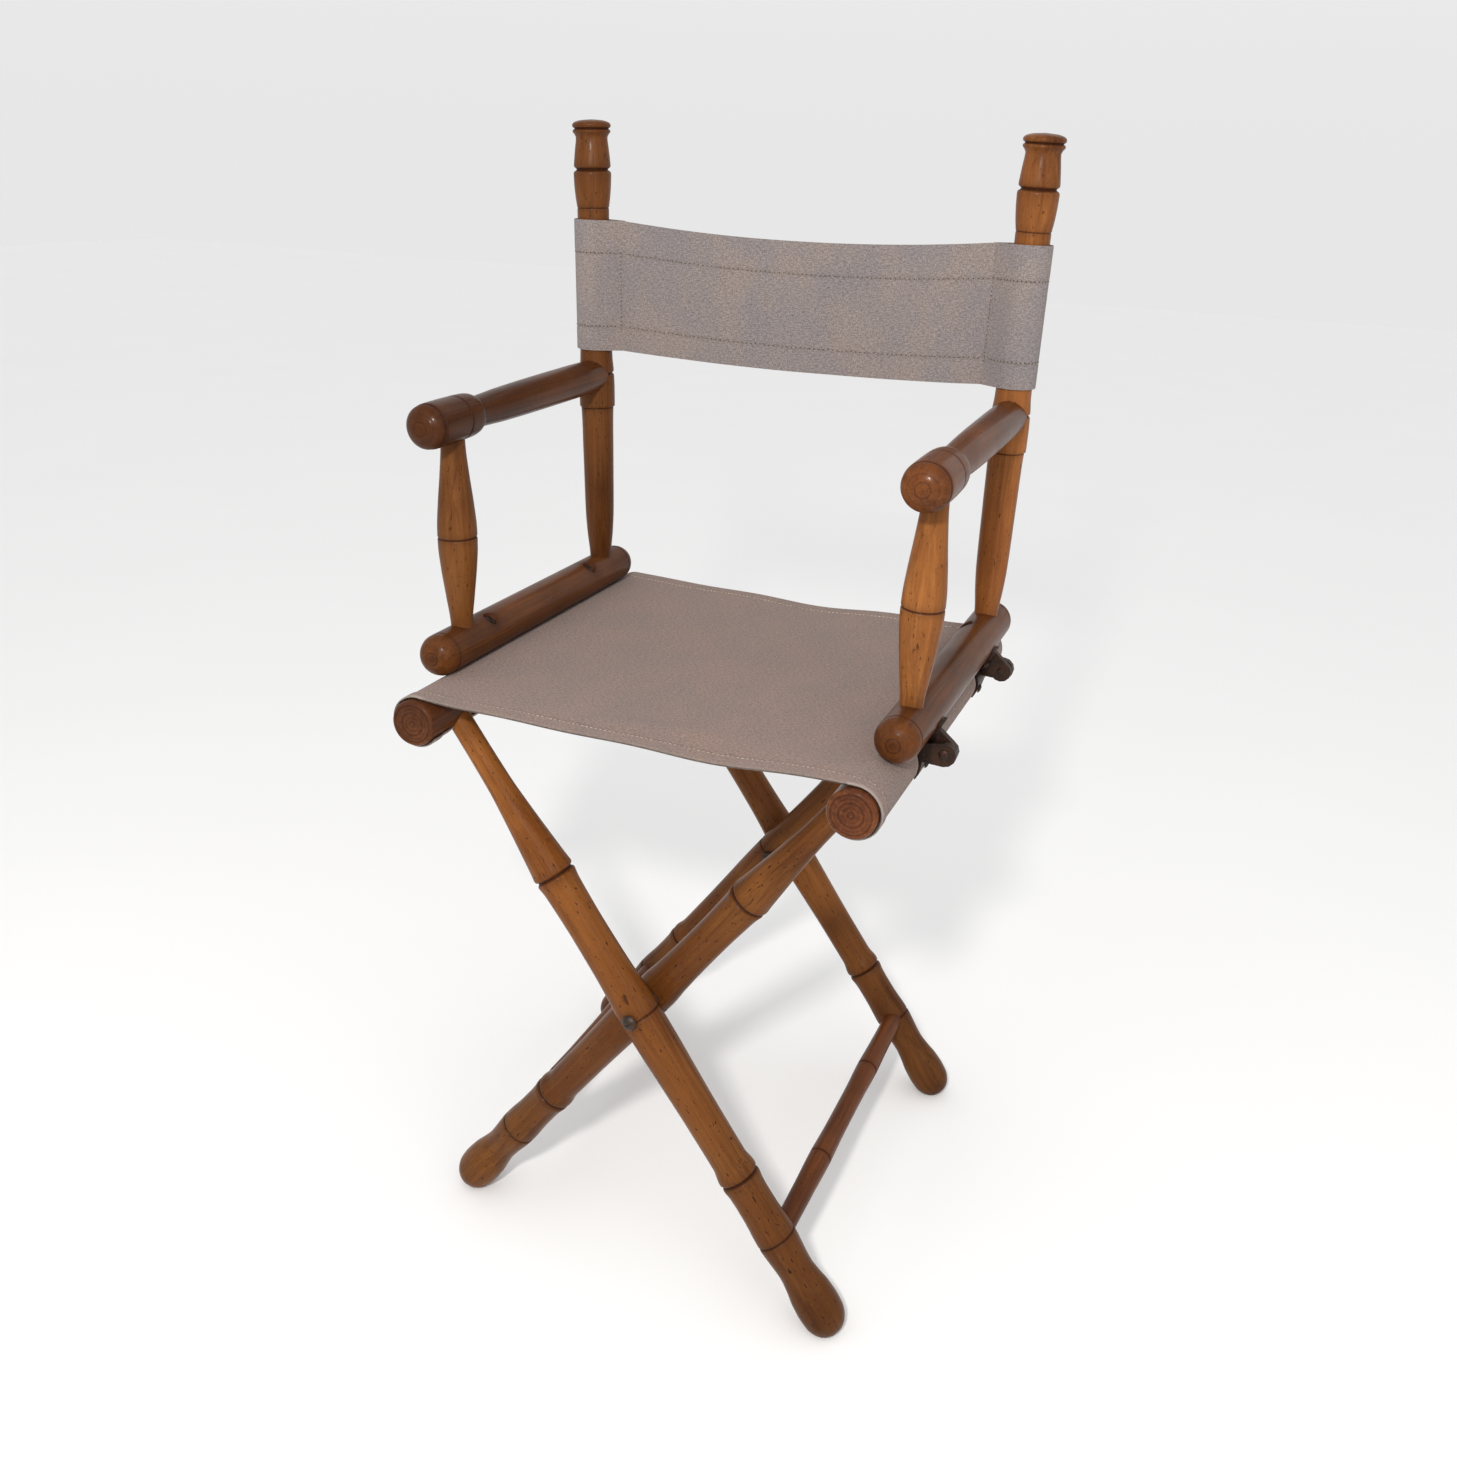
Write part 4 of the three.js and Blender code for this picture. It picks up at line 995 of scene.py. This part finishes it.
def sleeve_surface(side, u, h):
    """The loop round a post: u runs from the seam over the front, round the outside and behind the panel."""
    z = BACK_LOW + h * TALL
    axis = back_axis(z)
    gap = axis[..., 0] - seam_x(z)  # from the seam to the post's axis
    turn = np.arccos(SLEEVE_R / gap)
    straight = gap * np.sin(turn)
    arc_angle = 2 * np.pi - 2 * turn
    arc_long = arc_angle * SLEEVE_R
    total = 2 * straight + arc_long
    s = u * total
    first, last = s < straight, s > straight + arc_long
    theta = np.pi + turn + (s - straight) / SLEEVE_R
    cx, cy = np.cos(theta), np.sin(theta)
    touch_x, touch_y = -SLEEVE_R * np.cos(turn), -SLEEVE_R * np.sin(turn)
    t = np.clip(s / straight, 0, 1)
    front_x, front_y = -gap + (touch_x + gap) * t, -0.6 + (touch_y + 0.6) * t
    w = np.clip((s - straight - arc_long) / straight, 0, 1)
    rear_x, rear_y = touch_x + (-gap - 2.5 - touch_x) * w, -touch_y + (0.75 + touch_y) * ease(w, 0, 1.2)
    x = np.where(first, front_x, np.where(last, rear_x, SLEEVE_R * cx))
    y = np.where(first, front_y, np.where(last, rear_y, SLEEVE_R * cy))
    full = np.stack([side * (axis[..., 0] + x), axis[..., 1] + y, z], -1)
    du = np.gradient(full, axis=0)
    dv = np.gradient(full, axis=1)
    normal = np.cross(du, dv) * side
    return full, normal / np.linalg.norm(normal, axis=-1, keepdims=True), total


for name, side in SIDES.items():
    u, h = np.meshgrid(np.linspace(0, 1, 64), h_lines, indexing="ij")
    points, normals, total = sleeve_surface(side, u, h)
    away = np.stack([side * (BACK_STITCH + u * total.mean()), BACK_LOW + h * TALL], -1)
    sleeve = cloth_piece(f"back_canvas_sleeve_{name}", points, normals, hem_thickness(h),
                         np.ones((63, len(h_lines) - 1), bool), away, np.zeros_like(u),
                         hem_shadow(h), side < 0, BACK_LINEN, joined=(1, 0))
    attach(sleeve, ARM_BODY[name])
    rows = []
    for share in HEM_SHARES:
        u, h = np.meshgrid(np.linspace(0.03, 0.62, 70), [share - 0.002, share, share + 0.002], indexing="ij")
        p, n, _ = sleeve_surface(side, u, h)
        rows.append((p[:, 1] + n[:, 1] * STITCH_LIFT, n[:, 1]))
    u, h = np.meshgrid([0.008, 0.012, 0.016], np.linspace(0.015, 0.985, 60), indexing="ij")
    p, n, _ = sleeve_surface(side, u, h)
    rows.append((p[1] + n[1] * 0.6, n[1]))
    sewn = stitches(f"back_stitches_{name}", rows, BACK_THREAD, 2.0, 0.36, 3.4, 0.78)
    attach(sewn, ARM_BODY[name])

# ---- floor, light and camera ----
FLOOR = 9000
floor = new_mesh("floor", [(-FLOOR, -FLOOR, 0), (FLOOR, -FLOOR, 0), (FLOOR, FLOOR, 0), (-FLOOR, FLOOR, 0)],
                 [(0, 1, 2, 3)], smooth=False)
pale = Nodes("pale_floor")
grain = pale.noise(pale.add("ShaderNodeTexCoord").outputs["Object"], (3, 3, 3), 2, 0.5)
pale.put(pale.shader.inputs["Base Color"], pale.mix(grain, (0.87, 0.87, 0.87, 1), (0.89, 0.89, 0.89, 1)))
pale.shader.inputs["Roughness"].default_value = 0.9
pale.shader.inputs["Specular IOR Level"].default_value = 0.1
floor.data.materials.append(pale.material)

world = bpy.data.worlds.new("studio")
bpy.context.scene.world = world
world.use_nodes = True
sky = world.node_tree
height = sky.nodes.new("ShaderNodeSeparateXYZ")
sky.links.new(sky.nodes.new("ShaderNodeTexCoord").outputs["Generated"], height.inputs[0])
overhead = sky.nodes.new("ShaderNodeMapRange")
overhead.interpolation_type = "SMOOTHSTEP"
for socket, value in (("From Min", 0.0), ("From Max", 0.4), ("To Min", 0.80), ("To Max", 0.92)):
    overhead.inputs[socket].default_value = value
sky.links.new(height.outputs["Z"], overhead.inputs["Value"])
sky.links.new(overhead.outputs["Result"], sky.nodes["Background"].inputs["Strength"])
sky.nodes["Background"].inputs["Color"].default_value = (1.0, 1.0, 1.0, 1)


def area_light(name, place, target, size, power, colour=(1, 1, 1)):
    light = bpy.data.lights.new(name, "AREA")
    light.shape, light.size, light.energy, light.color = "DISK", size, power, colour
    thing = bpy.data.objects.new(name, light)
    thing.location = place
    thing.rotation_euler = (Vector(target) - Vector(place)).to_track_quat("-Z", "Y").to_euler()
    bpy.context.scene.collection.objects.link(thing)


area_light("key", (0.3, -1.45, 1.35), (0, 0, 0.45), 0.14, 20, (1.0, 0.97, 0.93))
area_light("fill", (1.9, -1.6, 1.5), (0, 0, 0.4), 1.6, 6)

AZIMUTH, DOWN, ROLL = 21.917, 17.988, 2.2095  # degrees
EYE = (0.39616, -1.01472, 0.86103)  # metres
camera = bpy.data.cameras.new("camera")
camera.lens, camera.sensor_width = 35.304, 36.0
camera.shift_x, camera.shift_y = 0.00998, -0.07474
camera.clip_start, camera.clip_end = 0.05, 60
az, down, roll = (math.radians(a) for a in (AZIMUTH, DOWN, ROLL))
forward = Vector((-math.sin(az) * math.cos(down), math.cos(az) * math.cos(down), -math.sin(down)))
level = forward.cross(Vector((0, 0, 1))).normalized()
upright = level.cross(forward)
right = level * math.cos(roll) + upright * math.sin(roll)
top = upright * math.cos(roll) - level * math.sin(roll)
view = bpy.data.objects.new("camera", camera)
view.matrix_world = Matrix((
    (right.x, top.x, -forward.x, EYE[0]), (right.y, top.y, -forward.y, EYE[1]),
    (right.z, top.z, -forward.z, EYE[2]), (0, 0, 0, 1)))
bpy.context.scene.collection.objects.link(view)
bpy.context.scene.camera = view
bpy.context.scene.view_settings.view_transform = "Standard"
